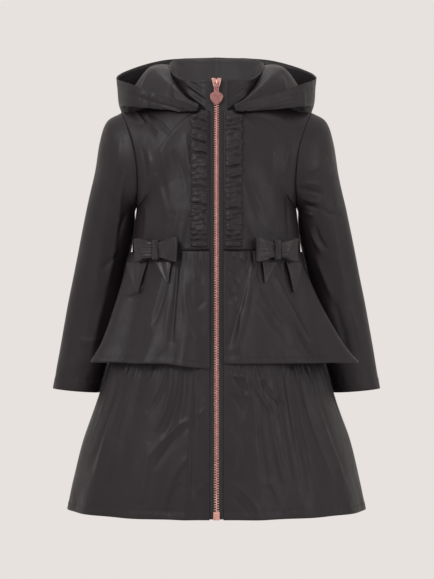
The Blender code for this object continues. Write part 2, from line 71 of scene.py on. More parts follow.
# Each panel's greatest length across and down, for its count of points
BODICE_FRONT_SPAN = (0.150, 0.235)
BODICE_BACK_SPAN = (0.145, 0.225)
SLEEVE_SPAN = (0.290, 0.440)
COLLAR_SPAN = (0.190, 0.056)
HOOD_SPAN = (0.330, 0.190)
YOKE_WIDTH = 0.130
PEPLUM_FRONT_WIDTH = 0.240
PEPLUM_BACK_WIDTH = 0.220
SKIRT_FRONT_WIDTH = 0.300
SKIRT_BACK_WIDTH = 0.290
STITCH_PITCH = 0.0034
STITCH_LENGTH = 0.0026
STITCH_RADIUS = 0.00028

# Heights of the cross seams, and where the fronts stop beside the zip
WAIST_Z = -0.2165
YOKE_FOOT_Z = -0.3550
PEPLUM_FOOT_Z = -0.3850
HEM_Z = -0.6120
FRONT_EDGE_X = 0.0103
COLLAR_TOP_Z = 0.0434

# Neck seam, by angle from the centre front: angle, x, y, z
NECK = (
    (0, 0.0000, -0.0700, -0.0070),
    (45, 0.0420, -0.0500, 0.0040),
    (90, 0.0600, 0.0000, 0.0270),
    (135, 0.0430, 0.0430, 0.0350),
    (180, 0.0000, 0.0580, 0.0370),
)

# Top edge of the stand collar: angle, x, y, z
COLLAR_EDGE = (
    (0, 0.0000, -0.0635, COLLAR_TOP_Z),
    (45, 0.0500, -0.0440, 0.0450),
    (90, 0.0725, 0.0080, 0.0680),
    (135, 0.0640, 0.0740, 0.0915),
    (180, 0.0000, 0.0990, 0.0965),
)

# Body below the neck: height, depth of the centre front, depth of the centre back
BODY_DEPTH = (
    (COLLAR_TOP_Z, 0.0635, 0.0560),
    (0.0370, 0.0643, 0.0580),
    (-0.0070, 0.0700, 0.0790),
    (-0.0550, 0.0800, 0.0910),
    (-0.1050, 0.0890, 0.0960),
    (-0.1500, 0.0940, 0.0950),
    (WAIST_Z, 0.0980, 0.0900),
    (-0.2900, 0.1080, 0.1000),
    (YOKE_FOOT_Z, 0.1180, 0.1100),
    (-0.4460, 0.1310, 0.1270),
    (-0.5080, 0.1400, 0.1380),
    (HEM_Z, 0.1520, 0.1500),
)

# Half width at the side seams: height, half width
BODY_WIDTH = (
    (-0.1500, 0.1238),
    (-0.1850, 0.1275),
    (WAIST_Z, 0.1300),
    (-0.2900, 0.1360),
    (YOKE_FOOT_Z, 0.1500),
    (-0.3920, 0.1660),
    (-0.4460, 0.1840),
    (-0.5080, 0.2060),
    (-0.5700, 0.2210),
    (HEM_Z, 0.2290),
)

# How far a bodice row has turned towards the side where it ends: share of the panel, degrees
BODICE_TURN = (
    (0.00, 0),
    (0.20, 18),
    (0.40, 46),
    (0.65, 86),
    (1.00, 90),
)
ARMHOLE_SHARE = 0.65
FRONT_NECK_SHARE = ARMHOLE_SHARE * 5 / 9
BACK_NECK_SHARE = ARMHOLE_SHARE * 3 / 9

# Sleeve rings from the armhole to the cuff: share, outer x, z, inner x, z, half depth, centre y, scoop
SLEEVE = (
    (0.00, 0.1463, -0.0010, 0.1238, -0.1500, 0.0540, 0.0000, 0.0120),
    (0.08, 0.1690, -0.0150, 0.1256, -0.1530, 0.0530, 0.0020, 0.0060),
    (0.18, 0.1810, -0.0480, 0.1262, -0.1570, 0.0500, 0.0060, 0.0015),
    (0.32, 0.1895, -0.0970, 0.1264, -0.1690, 0.0450, 0.0120, 0.0000),
    (0.46, 0.2025, -0.1520, 0.1290, -0.1960, 0.0420, 0.0180, 0.0000),
    (0.62, 0.2155, -0.2150, 0.1375, -0.2400, 0.0395, 0.0240, 0.0000),
    (0.80, 0.2345, -0.3080, 0.1500, -0.3240, 0.0370, 0.0300, 0.0000),
    (1.00, 0.2560, -0.4298, 0.1820, -0.4361, 0.0345, 0.0340, 0.0000),
)
CUFF_HEM = 0.0190

# Hood from its front end to the centre back: share, neck angle, lip height as a share of the
# collar's, crest out from the collar, outer fold x, y, z, rim x, y, z
HOOD = (
    (0.00, 24, 0.10, 0.003, 0.0290, -0.0730, -0.0060, 0.0300, -0.0750, 0.0000),
    (0.14, 40, 0.25, 0.006, 0.0490, -0.0660, -0.0060, 0.0482, -0.0690, 0.0095),
    (0.30, 60, 0.60, 0.013, 0.0915, -0.0500, -0.0010, 0.0914, -0.0520, 0.0234),
    (0.44, 78, 0.92, 0.022, 0.1310, -0.0290, 0.0050, 0.1323, -0.0290, 0.0400),
    (0.56, 92, 0.97, 0.030, 0.1490, 0.0160, 0.0110, 0.1560, 0.0200, 0.0544),
    (0.72, 118, 0.85, 0.026, 0.1380, 0.0900, -0.0060, 0.1401, 0.0850, 0.0763),
    (0.86, 148, 0.60, 0.020, 0.0870, 0.1360, -0.0380, 0.0837, 0.1250, 0.0977),
    (1.00, 180, 0.50, 0.016, 0.0000, 0.1540, -0.0520, 0.0000, 0.1400, 0.1039),
)
LIP_OUT = 0.0020

# Folds of the peplum: side (-1 photo left, 1 right, 0 both), angle at the waist and at the hem,
# half width in degrees, depth at the hem, and growth: above 1 the fold opens towards the hem
PEPLUM_FOLDS = (
    (0, 38, 40, 26, 0.010, 1.3),
    (1, 22, 8, 6, 0.010, 1.3),
    (1, 25, 50, 12, 0.014, 1.3),
    (1, 74, 70, 10, 0.062, 1.1),
    (-1, 18, 15, 7, 0.010, 1.3),
    (-1, 32, 38, 9, 0.009, 1.3),
    (-1, 72, 70, 12, 0.036, 0.6),
    (0, 118, 118, 10, 0.013, 1.3),
    (0, 142, 146, 12, 0.013, 1.3),
    (0, 166, 168, 9, 0.010, 1.3),
)

# Folds of the skirt tier, in the same columns
SKIRT_FOLDS = (
    (-1, 12, 11, 4, 0.007, 1.3),
    (-1, 30, 32, 9, 0.008, 1.3),
    (-1, 52, 56, 10, 0.007, 1.3),
    (1, 16, 14, 8, 0.008, 1.3),
    (1, 36, 38, 9, 0.007, 1.3),
    (1, 58, 60, 10, 0.008, 1.3),
    (0, 78, 78, 8, 0.003, 1.3),
    (0, 112, 112, 10, 0.009, 1.3),
    (0, 130, 131, 11, 0.008, 1.3),
    (0, 156, 158, 11, 0.009, 1.3),
)
PEPLUM_LIFT = 0.0022
PEPLUM_LEFT_DIP = 0.008

# Each tier: top, foot, how far it stands out, its folds, and the dip of its left front at the zip
PEPLUM = (WAIST_Z - SEAM, PEPLUM_FOOT_Z, PEPLUM_LIFT, PEPLUM_FOLDS, PEPLUM_LEFT_DIP)
YOKE = (WAIST_Z - SEAM, YOKE_FOOT_Z, 0.0, (), 0.0)
SKIRT = (YOKE_FOOT_Z - SEAM, HEM_Z, 0.0, SKIRT_FOLDS, 0.0)

# Gathers at a tier's seam: how many on a front and on half of the back, tallest crest, longest reach
PEPLUM_GATHERS = (26, 0.0030, 0.40)
SKIRT_GATHERS = (30, 0.0034, 0.66)
FRONT_WAIST_GATHERS = (17, 0.0016, 0.16)
BACK_WAIST_GATHERS = (20, 0.0014, 0.14)
GATHER_REACH = 0.2
BODICE_UNEVEN = 0.0007
TIER_UNEVEN = 0.0009

# Creases, in millimetres as seen from the front or the back: three points x, z along the crease
# (x to the photo's right), then half width and height. A height below nought is a trough.
BODICE_FRONT_CREASES = (
    (-127, 0, -112, -16, -104, -26, 3.0, 1.6),
    (-118, -3, -106, -22, -92, -46, 2.6, -1.8),
    (-108, -4, -96, -24, -84, -38, 3.0, 1.8),
    (-98, -6, -82, -26, -70, -42, 2.6, -1.4),
    (-124, -24, -112, -22, -104, -12, 2.2, -1.4),
    (-112, -62, -108, -84, -106, -108, 2.2, -1.8),
    (-104, -66, -98, -92, -94, -120, 3.0, 1.5),
    (-92, -100, -82, -130, -72, -172, 5.0, 1.8),
    (-84, -60, -72, -110, -66, -160, 7.0, 1.5),
    (-66, -66, -50, -106, -46, -150, 5.0, -1.3),
    (-46, -40, -44, -74, -38, -104, 4.0, 1.4),
    (-58, -150, -62, -180, -72, -206, 4.0, 1.4),
    (-40, -160, -44, -190, -46, -212, 2.6, -1.8),
    (-50, -176, -54, -196, -54, -213, 2.2, 1.4),
    (-110, -140, -106, -176, -112, -210, 5.0, 1.2),
    (48, -14, 84, -22, 108, -58, 5.0, -1.4),
    (60, -12, 92, -14, 118, -38, 4.0, 1.2),
    (112, -46, 106, -78, 100, -104, 4.0, 1.4),
    (44, -90, 56, -128, 74, -168, 4.0, 1.5),
    (42, -112, 50, -146, 60, -176, 3.0, -1.3),
    (88, -50, 84, -110, 92, -170, 9.0, 1.2),
    (110, -100, 108, -150, 112, -206, 4.0, -1.4),
    (46, -170, 54, -190, 66, -206, 3.0, 1.4),
    (64, -176, 78, -192, 96, -200, 4.0, -1.0),
)
BODICE_BACK_CREASES = (
    (-112, -30, -84, -44, -52, -48, 5.0, -1.6),
    (-116, -54, -92, -64, -66, -84, 4.0, 1.5),
    (-110, -90, -94, -120, -88, -160, 5.0, 1.6),
    (-70, -110, -62, -150, -64, -206, 5.0, -1.4),
    (-34, -60, -28, -120, -36, -190, 8.0, 1.3),
    (-98, -176, -92, -192, -94, -212, 3.0, -1.6),
    (-46, -184, -44, -198, -46, -213, 2.4, 1.4),
    (14, -180, 12, -198, 12, -213, 2.6, -1.3),
    (8, -50, 12, -104, 4, -150, 7.0, -1.1),
    (38, -70, 30, -130, 40, -200, 8.0, 1.3),
    (60, -196, 58, -204, 60, -213, 2.2, 1.3),
    (84, -30, 66, -48, 44, -54, 4.0, -1.4),
    (114, -50, 94, -70, 72, -76, 4.0, 1.6),
    (108, -84, 96, -116, 90, -150, 3.6, -1.5),
    (78, -120, 70, -160, 76, -206, 6.0, 1.4),
    (104, -160, 98, -186, 102, -212, 4.0, -1.5),
)
SLEEVE_FRONT_CREASES = (
    (-146, -40, -150, -90, -158, -140, 7.0, 1.2),
    (-136, -96, -146, -130, -150, -176, 4.0, 1.6),
    (-132, -150, -146, -176, -156, -216, 4.0, -1.6),
    (-150, -170, -158, -220, -172, -280, 5.0, 1.8),
    (-166, -120, -176, -200, -192, -300, 9.0, 1.4),
    (-148, -214, -164, -232, -180, -244, 3.4, -1.3),
    (-170, -280, -184, -330, -196, -392, 7.0, 1.5),
    (-200, -240, -206, -310, -222, -390, 8.0, -1.2),
    (-178, -350, -196, -356, -214, -352, 4.0, 1.0),
    (126, -116, 142, -114, 160, -118, 2.6, 1.6),
    (126, -124, 140, -124, 166, -130, 2.4, -1.8),
    (128, -134, 144, -140, 160, -140, 2.8, 1.8),
    (130, -146, 146, -148, 158, -152, 2.4, -1.8),
    (132, -154, 142, -160, 152, -160, 2.6, 1.4),
    (140, -96, 152, -90, 168, -72, 4.0, 1.2),
    (142, -180, 152, -202, 164, -220, 3.0, 1.8),
    (152, -176, 160, -200, 172, -214, 3.0, -1.6),
    (150, -220, 168, -262, 184, -300, 5.0, 1.6),
    (182, -130, 188, -210, 206, -300, 8.0, 1.3),
    (176, -280, 196, -340, 208, -396, 7.0, -1.3),
    (210, -300, 222, -350, 234, -400, 6.0, 1.4),
    (160, -150, 176, -160, 192, -158, 4.0, -1.0),
)
SLEEVE_BACK_CREASES = (
    (-138, -60, -150, -110, -156, -160, 6.0, 1.6),
    (-134, -150, -158, -160, -184, -156, 4.0, -1.6),
    (-138, -172, -160, -184, -190, -176, 3.6, 1.7),
    (-142, -190, -168, -204, -196, -204, 3.4, -1.4),
    (-160, -220, -176, -290, -196, -370, 8.0, 1.5),
    (-196, -250, -206, -320, -220, -390, 6.0, -1.3),
    (136, -74, 146, -120, 158, -160, 6.0, 1.5),
    (132, -146, 152, -158, 178, -160, 3.6, -1.6),
    (136, -164, 156, -180, 186, -182, 4.0, 1.6),
    (144, -196, 164, -206, 188, -198, 3.4, -1.4),
    (156, -216, 174, -280, 190, -350, 8.0, 1.4),
    (200, -240, 210, -300, 226, -390, 7.0, -1.3),
)
PEPLUM_FRONT_CREASES = (
    (-57, -232, -62, -290, -66, -356, 2.4, -2.6),
    (-52, -236, -56, -290, -62, -352, 3.4, 1.8),
    (-48, -262, -44, -310, -34, -350, 5.0, 1.6),
    (-38, -266, -36, -310, -26, -344, 4.0, -1.2),
    (-24, -234, -23, -250, -22, -268, 1.8, -1.4),
    (-30, -232, -30, -246, -32, -262, 1.8, 1.3),
    (-16, -290, -24, -298, -34, -306, 3.0, -1.1),
    (-74, -262, -84, -300, -96, -330, 4.0, -1.8),
    (-80, -250, -92, -300, -104, -340, 5.0, 1.6),
    (-70, -290, -74, -330, -76, -366, 4.0, 1.4),
    (-112, -268, -124, -278, -136, -284, 2.0, 1.5),
    (-110, -272, -122, -284, -132, -288, 1.8, -1.6),
    (-110, -290, -118, -330, -126, -366, 8.0, 1.2),
    (-100, -320, -106, -340, -110, -372, 4.0, -1.2),
    (51, -234, 38, -290, 18, -362, 3.4, -2.3),
    (52, -240, 44, -300, 28, -368, 4.4, 2.3),
    (53, -236, 76, -292, 124, -346, 3.4, 2.4),
    (60, -250, 68, -282, 84, -306, 3.4, -1.8),
    (34, -300, 36, -334, 32, -372, 3.0, 1.2),
    (88, -254, 110, -300, 142, -354, 3.0, 2.4),
    (84, -262, 92, -300, 96, -330, 5.0, -1.4),
    (66, -300, 86, -336, 116, -360, 8.0, -1.4),
    (18, -248, 26, -254, 32, -266, 2.0, -1.3),
    (20, -262, 28, -268, 30, -282, 2.2, 1.2),
    (14, -276, 22, -284, 30, -288, 2.4, -1.2),
    (18, -296, 26, -298, 32, -308, 2.4, 1.1),
    (30, -226, 40, -236, 46, -248, 2.0, -1.6),
    (20, -222, 34, -228, 44, -232, 1.8, 1.3),
)
PEPLUM_BACK_CREASES = (
    (-108, -232, -116, -290, -122, -366, 5.0, 1.8),
    (-88, -230, -92, -280, -98, -340, 3.4, -1.8),
    (-64, -232, -66, -296, -74, -370, 5.0, 1.7),
    (-40, -226, -42, -260, -44, -300, 3.0, -1.6),
    (-16, -230, -18, -290, -14, -366, 5.0, 1.6),
    (10, -228, 12, -262, 8, -310, 3.0, -1.5),
    (34, -230, 36, -290, 44, -368, 5.0, 1.7),
    (58, -228, 62, -270, 64, -318, 3.4, -1.6),
    (84, -232, 90, -300, 96, -370, 6.0, 1.8),
    (106, -236, 112, -280, 122, -330, 4.0, -1.6),
)
SKIRT_FRONT_CREASES = (
    (-32, -390, -35, -480, -37, -596, 1.6, -2.6),
    (-28, -390, -31, -480, -33, -596, 2.6, 1.6),
    (-92, -392, -102, -420, -116, -440, 3.0, 1.6),
    (-74, -392, -84, -430, -104, -458, 2.8, -1.6),
    (-66, -390, -72, -440, -92, -484, 3.4, 1.8),
    (-54, -392, -58, -440, -78, -496, 3.0, -1.8),
    (-46, -392, -48, -440, -58, -480, 3.0, 1.6),
    (-38, -466, -66, -484, -100, -522, 3.0, 1.9),
    (-40, -476, -66, -502, -92, -540, 3.4, -1.6),
    (-40, -520, -62, -550, -74, -600, 4.0, 1.5),
    (-52, -560, -66, -580, -70, -608, 3.0, -1.3),
    (-118, -400, -140, -470, -160, -560, 9.0, 1.6),
    (-130, -396, -158, -470, -184, -560, 3.0, 2.2),
    (-140, -400, -164, -470, -192, -550, 5.0, -2.4),
    (-100, -500, -104, -540, -112, -590, 6.0, 1.2),
    (-22, -400, -24, -420, -20, -440, 2.0, -1.3),
    (-16, -448, -22, -456, -30, -462, 1.8, 1.2),
    (-18, -560, -28, -572, -32, -590, 2.4, 1.3),
    (22, -394, 30, -412, 44, -428, 2.2, -1.6),
    (16, -398, 30, -404, 46, -402, 2.2, 1.4),
    (18, -424, 34, -430, 50, -434, 2.4, 1.3),
    (24, -436, 36, -450, 34, -470, 2.6, -1.3),
    (32, -394, 52, -430, 60, -492, 2.8, 1.9),
    (52, -394, 62, -426, 90, -468, 2.6, 2.0),
    (60, -392, 74, -420, 104, -452, 2.4, -1.8),
    (58, -444, 66, -500, 74, -560, 3.4, -1.8),
    (74, -430, 86, -500, 100, -560, 4.0, 1.8),
    (20, -480, 34, -510, 30, -552, 4.0, 1.3),
    (26, -560, 46, -578, 64, -604, 3.4, 1.6),
    (18, -574, 36, -590, 44, -608, 2.8, -1.4),
    (84, -392, 92, -440, 112, -560, 3.0, -1.6),
    (112, -392, 122, -450, 152, -590, 3.2, 2.6),
    (104, -396, 112, -460, 136, -590, 5.0, -2.0),
    (134, -396, 154, -460, 194, -570, 3.0, 2.4),
    (124, -404, 142, -470, 176, -560, 5.0, -2.0),
    (64, -570, 80, -560, 96, -600, 4.0, 1.2),
)
SKIRT_BACK_CREASES = (
    (-150, -380, -170, -470, -196, -580, 5.0, 2.0),
    (-126, -370, -140, -440, -160, -540, 4.0, -1.8),
    (-104, -368, -112, -420, -132, -500, 3.4, 1.8),
    (-82, -368, -90, -450, -104, -590, 5.0, -1.8),
    (-60, -366, -64, -420, -76, -480, 3.0, 1.7),
    (-40, -368, -42, -460, -50, -590, 6.0, 1.8),
    (-18, -366, -20, -410, -26, -470, 3.0, -1.6),
    (4, -368, 6, -440, 2, -560, 5.0, 1.6),
    (24, -366, 28, -420, 38, -490, 3.0, -1.7),
    (48, -368, 52, -450, 58, -590, 6.0, 1.8),
    (70, -366, 78, -420, 94, -480, 3.4, -1.6),
    (92, -370, 102, -460, 120, -590, 5.0, 1.9),
    (118, -370, 132, -440, 146, -520, 4.0, -1.8),
    (146, -380, 168, -470, 194, -580, 6.0, 2.0),
)

# Folds of the hood's cloth: share along the rim and out from the neck where each starts and ends,
# half width and height in millimetres. The two sides differ.
HOOD_CREASES = (
    (-1, 0.38, 0.74, 0.36, 0.96, 3.0, 1.6),
    (-1, 0.35, 0.72, 0.34, 0.90, 2.4, -1.4),
    (-1, 0.32, 0.76, 0.31, 0.97, 2.6, 1.4),
    (-1, 0.08, 0.62, 0.26, 0.84, 3.0, 1.4),
    (-1, 0.10, 0.78, 0.24, 0.72, 2.4, -1.4),
    (-1, 0.30, 0.30, 0.18, 0.62, 3.4, 1.8),
    (-1, 0.50, 0.40, 0.44, 0.64, 6.0, -1.6),
    (1, 0.26, 0.40, 0.18, 0.62, 3.0, 1.6),
    (1, 0.30, 0.52, 0.20, 0.70, 2.4, -1.6),
    (1, 0.12, 0.78, 0.40, 0.86, 5.0, 1.3),
    (1, 0.46, 0.44, 0.40, 0.60, 6.0, -1.5),
    (1, 0.44, 0.80, 0.41, 0.94, 4.0, 1.0),
    (0, 0.60, 0.45, 0.66, 0.80, 7.0, 1.8),
    (0, 0.70, 0.50, 0.73, 0.88, 6.0, -1.8),
    (0, 0.80, 0.48, 0.82, 0.92, 7.0, 1.6),
    (0, 0.90, 0.55, 0.89, 0.86, 6.0, -1.5),
    (0, 0.66, 0.74, 0.86, 0.70, 6.0, -1.4),
)

# Gathered wrinkles of the collar: side, share round and rise where each starts and ends, half width
# and height in millimetres
COLLAR_CREASES = (
    (-1, 0.03, 0.06, 0.20, 0.52, 2.2, 1.6),
    (-1, 0.05, 0.02, 0.24, 0.38, 1.8, -1.6),
    (-1, 0.02, 0.26, 0.18, 0.74, 2.2, -1.4),
    (-1, 0.03, 0.40, 0.20, 0.92, 2.4, 1.5),
    (-1, 0.04, 0.62, 0.16, 0.98, 1.8, -1.3),
    (1, 0.04, 0.04, 0.22, 0.44, 2.4, 1.5),
    (1, 0.06, 0.02, 0.26, 0.30, 1.8, -1.5),
    (1, 0.02, 0.34, 0.16, 0.80, 2.6, 1.2),
    (0, 0.40, 0.10, 0.46, 0.80, 5.0, 1.0),
    (0, 0.70, 0.15, 0.66, 0.85, 5.0, -1.0),
)

# Ruched strip beside the zip, and its tucks: height below the strip's top at the outer and at the
# inner edge, share of the width that the tuck crosses from its start, start edge (0 outer, 1 inner),
# depth, all lengths in millimetres
STRIP_TOP_Z = -0.0120
STRIP_FOOT_Z = -0.2100
STRIP_INNER_X = 0.0125
STRIP_WIDTH = 0.0265
STRIP_PUFF = 0.0030
STRIP_TUCKS = {
    -1: (
        (3, 13, 1.0, 0, 2.4), (10, 20, 0.6, 1, 1.6), (20, 25, 1.0, 0, 2.4), (30, 32, 0.5, 0, 1.6),
        (37, 43, 1.0, 0, 3.0), (45, 50, 0.7, 1, 1.8), (54, 62, 1.0, 0, 3.0), (60, 70, 0.6, 1, 2.0),
        (73, 75, 0.6, 0, 1.6), (84, 80, 1.0, 1, 2.2), (92, 90, 0.5, 0, 1.6), (102, 98, 0.8, 1, 2.2),
        (109, 112, 1.0, 0, 3.0), (117, 116, 0.6, 1, 2.0), (126, 124, 0.7, 0, 1.8), (134, 138, 1.0, 0, 3.0),
        (141, 150, 0.8, 1, 1.8), (155, 146, 1.0, 0, 2.0), (163, 157, 0.9, 0, 2.0), (170, 163, 0.8, 1, 1.8),
        (176, 177, 0.6, 0, 1.8), (184, 181, 1.0, 0, 2.6), (191, 190, 1.0, 0, 2.6),
    ),
    1: (
        (4, 14, 0.9, 1, 2.2), (12, 18, 1.0, 0, 2.4), (22, 24, 1.0, 0, 2.2), (33, 30, 0.6, 1, 1.8),
        (40, 46, 0.6, 0, 1.6), (50, 56, 0.9, 1, 2.2), (60, 62, 0.5, 0, 1.8), (74, 82, 1.0, 0, 3.0),
        (72, 88, 0.7, 1, 2.0), (93, 96, 1.0, 0, 2.4), (103, 107, 0.8, 1, 1.8), (107, 112, 1.0, 0, 2.6),
        (120, 119, 0.7, 0, 1.8), (127, 130, 0.6, 1, 1.6), (141, 145, 1.0, 0, 3.0), (150, 152, 0.6, 0, 1.8),
        (157, 160, 0.8, 1, 2.0), (167, 165, 0.6, 0, 1.8), (174, 177, 0.7, 1, 2.0), (182, 184, 1.0, 0, 2.6),
        (190, 191, 0.8, 0, 2.2),
    ),
}

# Zip
CHAIN_HALF_WIDTH = 0.0038
CHAIN_HALF_THICK = 0.0015
CHAIN_CENTRE_BEHIND = 0.0012
TAPE_INNER_X = 0.0006
TAPE_OUTER_X = 0.0170
TAPE_BEHIND = 0.0017
TAPE_THICK = 0.0007
TOOTH_PITCH = 0.0036
TOOTH_HEIGHT = 0.00145
TOOTH_BEVEL = 0.00022
SLIDER_FOOT_Z = 0.0312
BOX_TOP_Z = -0.5998
SLIDER_BACK = 0.0002
SLIDER_FRONT = 0.0046
PIVOT_Z = 0.0372
PIVOT_OUT = 0.0016
TAB_THICK = 0.0016
TAB_BAR = 0.0008
TAB_HOLE_HALF_WIDTH = 0.0020
TAB_HOLE_FOOT = -0.0095
METAL_ROUND = 0.00035
SLIDER_HALF = ((0.0000, 0.0108), (0.0026, 0.0129), (0.0072, 0.0129), (0.0060, 0.0060), (0.0046, 0.0000))
TAB_HALF = (
    (0.0036, TAB_BAR),
    (0.0036, -0.0140),
    (0.0078, -0.0165),
    (0.0100, -0.0200),
    (0.0096, -0.0240),
    (0.0070, -0.0288),
    (0.0032, -0.0326),
    (0.0000, -0.0336),
)

# Bows, in their own flat: x out to the side, y to the back, z up, then turned with the coat's side
BOW_X = 0.0910
BOW_Y = -0.0840
BOW_Z = -0.2155
BOW_TURN = math.radians(34)
LOOP_LENGTH = 0.0330
LOOP_ROOT_X = 0.0059
LOOP_ROOT_HALF_HEIGHT = 0.0115
LOOP_TIP_HALF_HEIGHT = 0.0180
LOOP_DEPTH = 0.0046
KNOT_HALF_WIDTH = 0.0060
KNOT_HALF_DEPTH = 0.0058
KNOT_HALF_HEIGHT = 0.0145
TAIL_OUT = 0.0015
TAILS = (
    ("outer", 0.1010, 0.1240, 0.1130, -0.2330, -0.2790),
    ("inner", 0.0650, 0.0880, 0.0690, -0.2330, -0.2640),
)

# Camera and stage
CAMERA_AT = (0.000775, -2.6, -0.2751)
CAMERA_LENS = 104.3
FLOOR_Z = -0.95
FLOOR_RADIUS = 1.15
STEP = 0.0026


def along(table, keys):
    """The table's columns after the first at an array of keys, on a smooth curve through the rows."""
    rows = np.array(sorted(table), float)
    at, values = rows[:, 0], rows[:, 1:]
    keys = np.clip(np.asarray(keys, float), at[0], at[-1])
    low = np.clip(np.searchsorted(at, keys, side="right") - 1, 0, len(at) - 2)
    before = np.maximum(np.arange(len(at)) - 1, 0)
    after = np.minimum(np.arange(len(at)) + 1, len(at) - 1)
    slopes = (values[after] - values[before]) / (at[after] - at[before])[:, None]
    step = (at[low + 1] - at[low])[..., None]
    t = (keys - at[low])[..., None] / step
    start = (2 * t**3 - 3 * t**2 + 1) * values[low] + (t**3 - 2 * t**2 + t) * slopes[low] * step
    end = (3 * t**2 - 2 * t**3) * values[low + 1] + (t**3 - t**2) * slopes[low + 1] * step
    return np.moveaxis(start + end, -1, 0)


def ease(t):
    """0 to 1 with level ends."""
    t = np.clip(t, 0.0, 1.0)
    return t * t * (3 - 2 * t)


def points(x, y, z):
    return np.stack(np.broadcast_arrays(x, y, z), axis=-1).astype(float)


def unit(vectors):
    return vectors / np.maximum(np.linalg.norm(vectors, axis=-1, keepdims=True), 1e-9)


def mesh_of(rows, columns):
    """Two arrays of shares: across from 0 to 1 by column, and down from 0 to 1 by row."""
    return np.meshgrid(np.linspace(0, 1, columns), np.linspace(0, 1, rows))


def front_depth(z):
    return along(BODY_DEPTH, z)[0]


def half_width(z):
    return along(BODY_WIDTH, z)[0]


def sleeve_surface(share, turn):
    """The right sleeve, turn 0 on the shoulder line and 90 degrees at its front."""
    out_x, out_z, in_x, in_z, depth, centre_y, scoop = along(SLEEVE, share)
    lean, side = np.cos(turn), np.sin(turn)
    x = (out_x + in_x) / 2 + (out_x - in_x) / 2 * lean - scoop * side * side
    z = (out_z + in_z) / 2 + (out_z - in_z) / 2 * lean
    return points(x, centre_y - depth * side, z)


def neck_angle_at_zip():
    """The neck angle where the front's edge meets the neck seam."""
    angles = np.linspace(0, 45, 901)
    return float(np.interp(FRONT_EDGE_X, along(NECK, angles)[0], angles))


def bodice_surface(across, down, back):
    """The right half of the bodice: across from the centre to the side, down from the shoulder."""
    neck_share = BACK_NECK_SHARE if back else FRONT_NECK_SHARE
    neck_end = 180.0 if back else neck_angle_at_zip()
    centre_x = 0.0 if back else FRONT_EDGE_X
    facing = 1 if back else -1
    neck = points(*along(NECK, 90 + (neck_end - 90) * np.minimum(down / neck_share, 1)))
    top = float(along(NECK, neck_end)[2])
    z = top + (WAIST_Z - top) * (down - neck_share) / (1 - neck_share)
    depth = along(BODY_DEPTH, z)[1 if back else 0]
    inner = np.where((down < neck_share)[..., None], neck, points(centre_x, facing * depth, z))
    turn = math.pi * np.minimum(down / ARMHOLE_SHARE, 1)
    armhole = sleeve_surface(0 * down, -turn if back else turn)
    top = SLEEVE[0][4]
    z = top + (WAIST_Z - top) * (down - ARMHOLE_SHARE) / (1 - ARMHOLE_SHARE)
    outer = np.where((down < ARMHOLE_SHARE)[..., None], armhole, points(half_width(z), 0, z))
    wrap = np.radians(along(BODICE_TURN, down)[0])
    run = outer[..., 0] - inner[..., 0]
    fall = (inner[..., 1] - outer[..., 1]) * facing
    pull = 0.55
    start = inner + points(pull * run, 0, 0)
    reach = pull * (run * np.cos(wrap) + fall * np.sin(wrap))
    end = outer - points(np.cos(wrap), -facing * np.sin(wrap), 0) * reach[..., None]
    t = across[..., None]
    found = inner * (1 - t) ** 3 + start * 3 * t * (1 - t) ** 2 + end * 3 * t * t * (1 - t) + outer * t**3
    found[..., 2] = inner[..., 2] + (outer[..., 2] - inner[..., 2]) * ease(across)
    found[..., 1] += facing * CURVED_SEAM / 2
    return found


def ring_surface(angle, z, out):
    """Round the body at a height, by angle from the centre front, moved outwards."""
    turn = np.radians(angle)
    wide = half_width(z)
    front, back = along(BODY_DEPTH, z)
    deep = np.where(angle < 90, front, back)
    away = unit(points(np.sin(turn) / wide, -np.cos(turn) / deep, 0 * wide))
    return points(wide * np.sin(turn), -deep * np.cos(turn), z) + away * np.asarray(out)[..., None]


def fold_height(folds, side, angle, drop):
    """How far the large folds push the cloth out, at a share of the way down from the seam."""
    height = 0 * angle
    for fold_side, top_angle, hem_angle, spread, depth, growth in folds:
        if fold_side in (0, side):
            middle = top_angle + (hem_angle - top_angle) * drop
            height = height + depth * drop**growth * np.exp(-(((angle - middle) / spread) ** 2))
    return height


def uneven(k, seed):
    """A share from 0 to 1 for the k-th of a row of like things, the same on each run."""
    return (math.sin(12.9898 * k + 78.233 * seed) * 43758.5453) % 1.0


def gather_height(gathers, seed, angle_share, drop):
    """Uneven gathers that hang from a seam: each has its own place, height and length."""
    count, tallest, longest = gathers
    height = 0 * drop
    for k in range(count):
        place = (k + 0.5 + 0.55 * (uneven(k, seed) - 0.5)) / count
        place = place + 0.5 / count * (uneven(k, seed + 3) - 0.5) * drop * 3
        tall = tallest * (0.35 + 0.65 * uneven(k, seed + 1))
        length = longest * (0.30 + 0.70 * uneven(k, seed + 2))
        width = (0.22 + 0.30 * np.minimum(drop / length, 1)) / count
        crest = np.exp(-(((angle_share - place) / width) ** 2))
        height = height + tall * crest * (1 - ease(drop / length)) * (0.55 + 0.45 * ease(drop * 14))
    return height


def tier_surface(side, angle, drop, tier, gather):
    top_z, foot_z, lift, folds, dip = tier
    dip = dip * (1 - ease(angle / 30)) if side < 0 else 0.0
    z = top_z + (foot_z - dip - top_z) * drop
    edge = np.degrees(np.arcsin(FRONT_EDGE_X / half_width(z)))
    free = ease((angle - edge) / 16)
    close = ease((angle - edge) / 4)
    out = lift + free * fold_height(folds, side, angle, drop) + close * gather
    return ring_surface(angle, z, out)


def collar_surface(angle, rise):
    foot = points(*along(NECK, angle)) + np.array((0, 0, CURVED_SEAM))
    edge = points(*along(COLLAR_EDGE, angle))
    return foot + (edge - foot) * np.asarray(rise)[..., None]


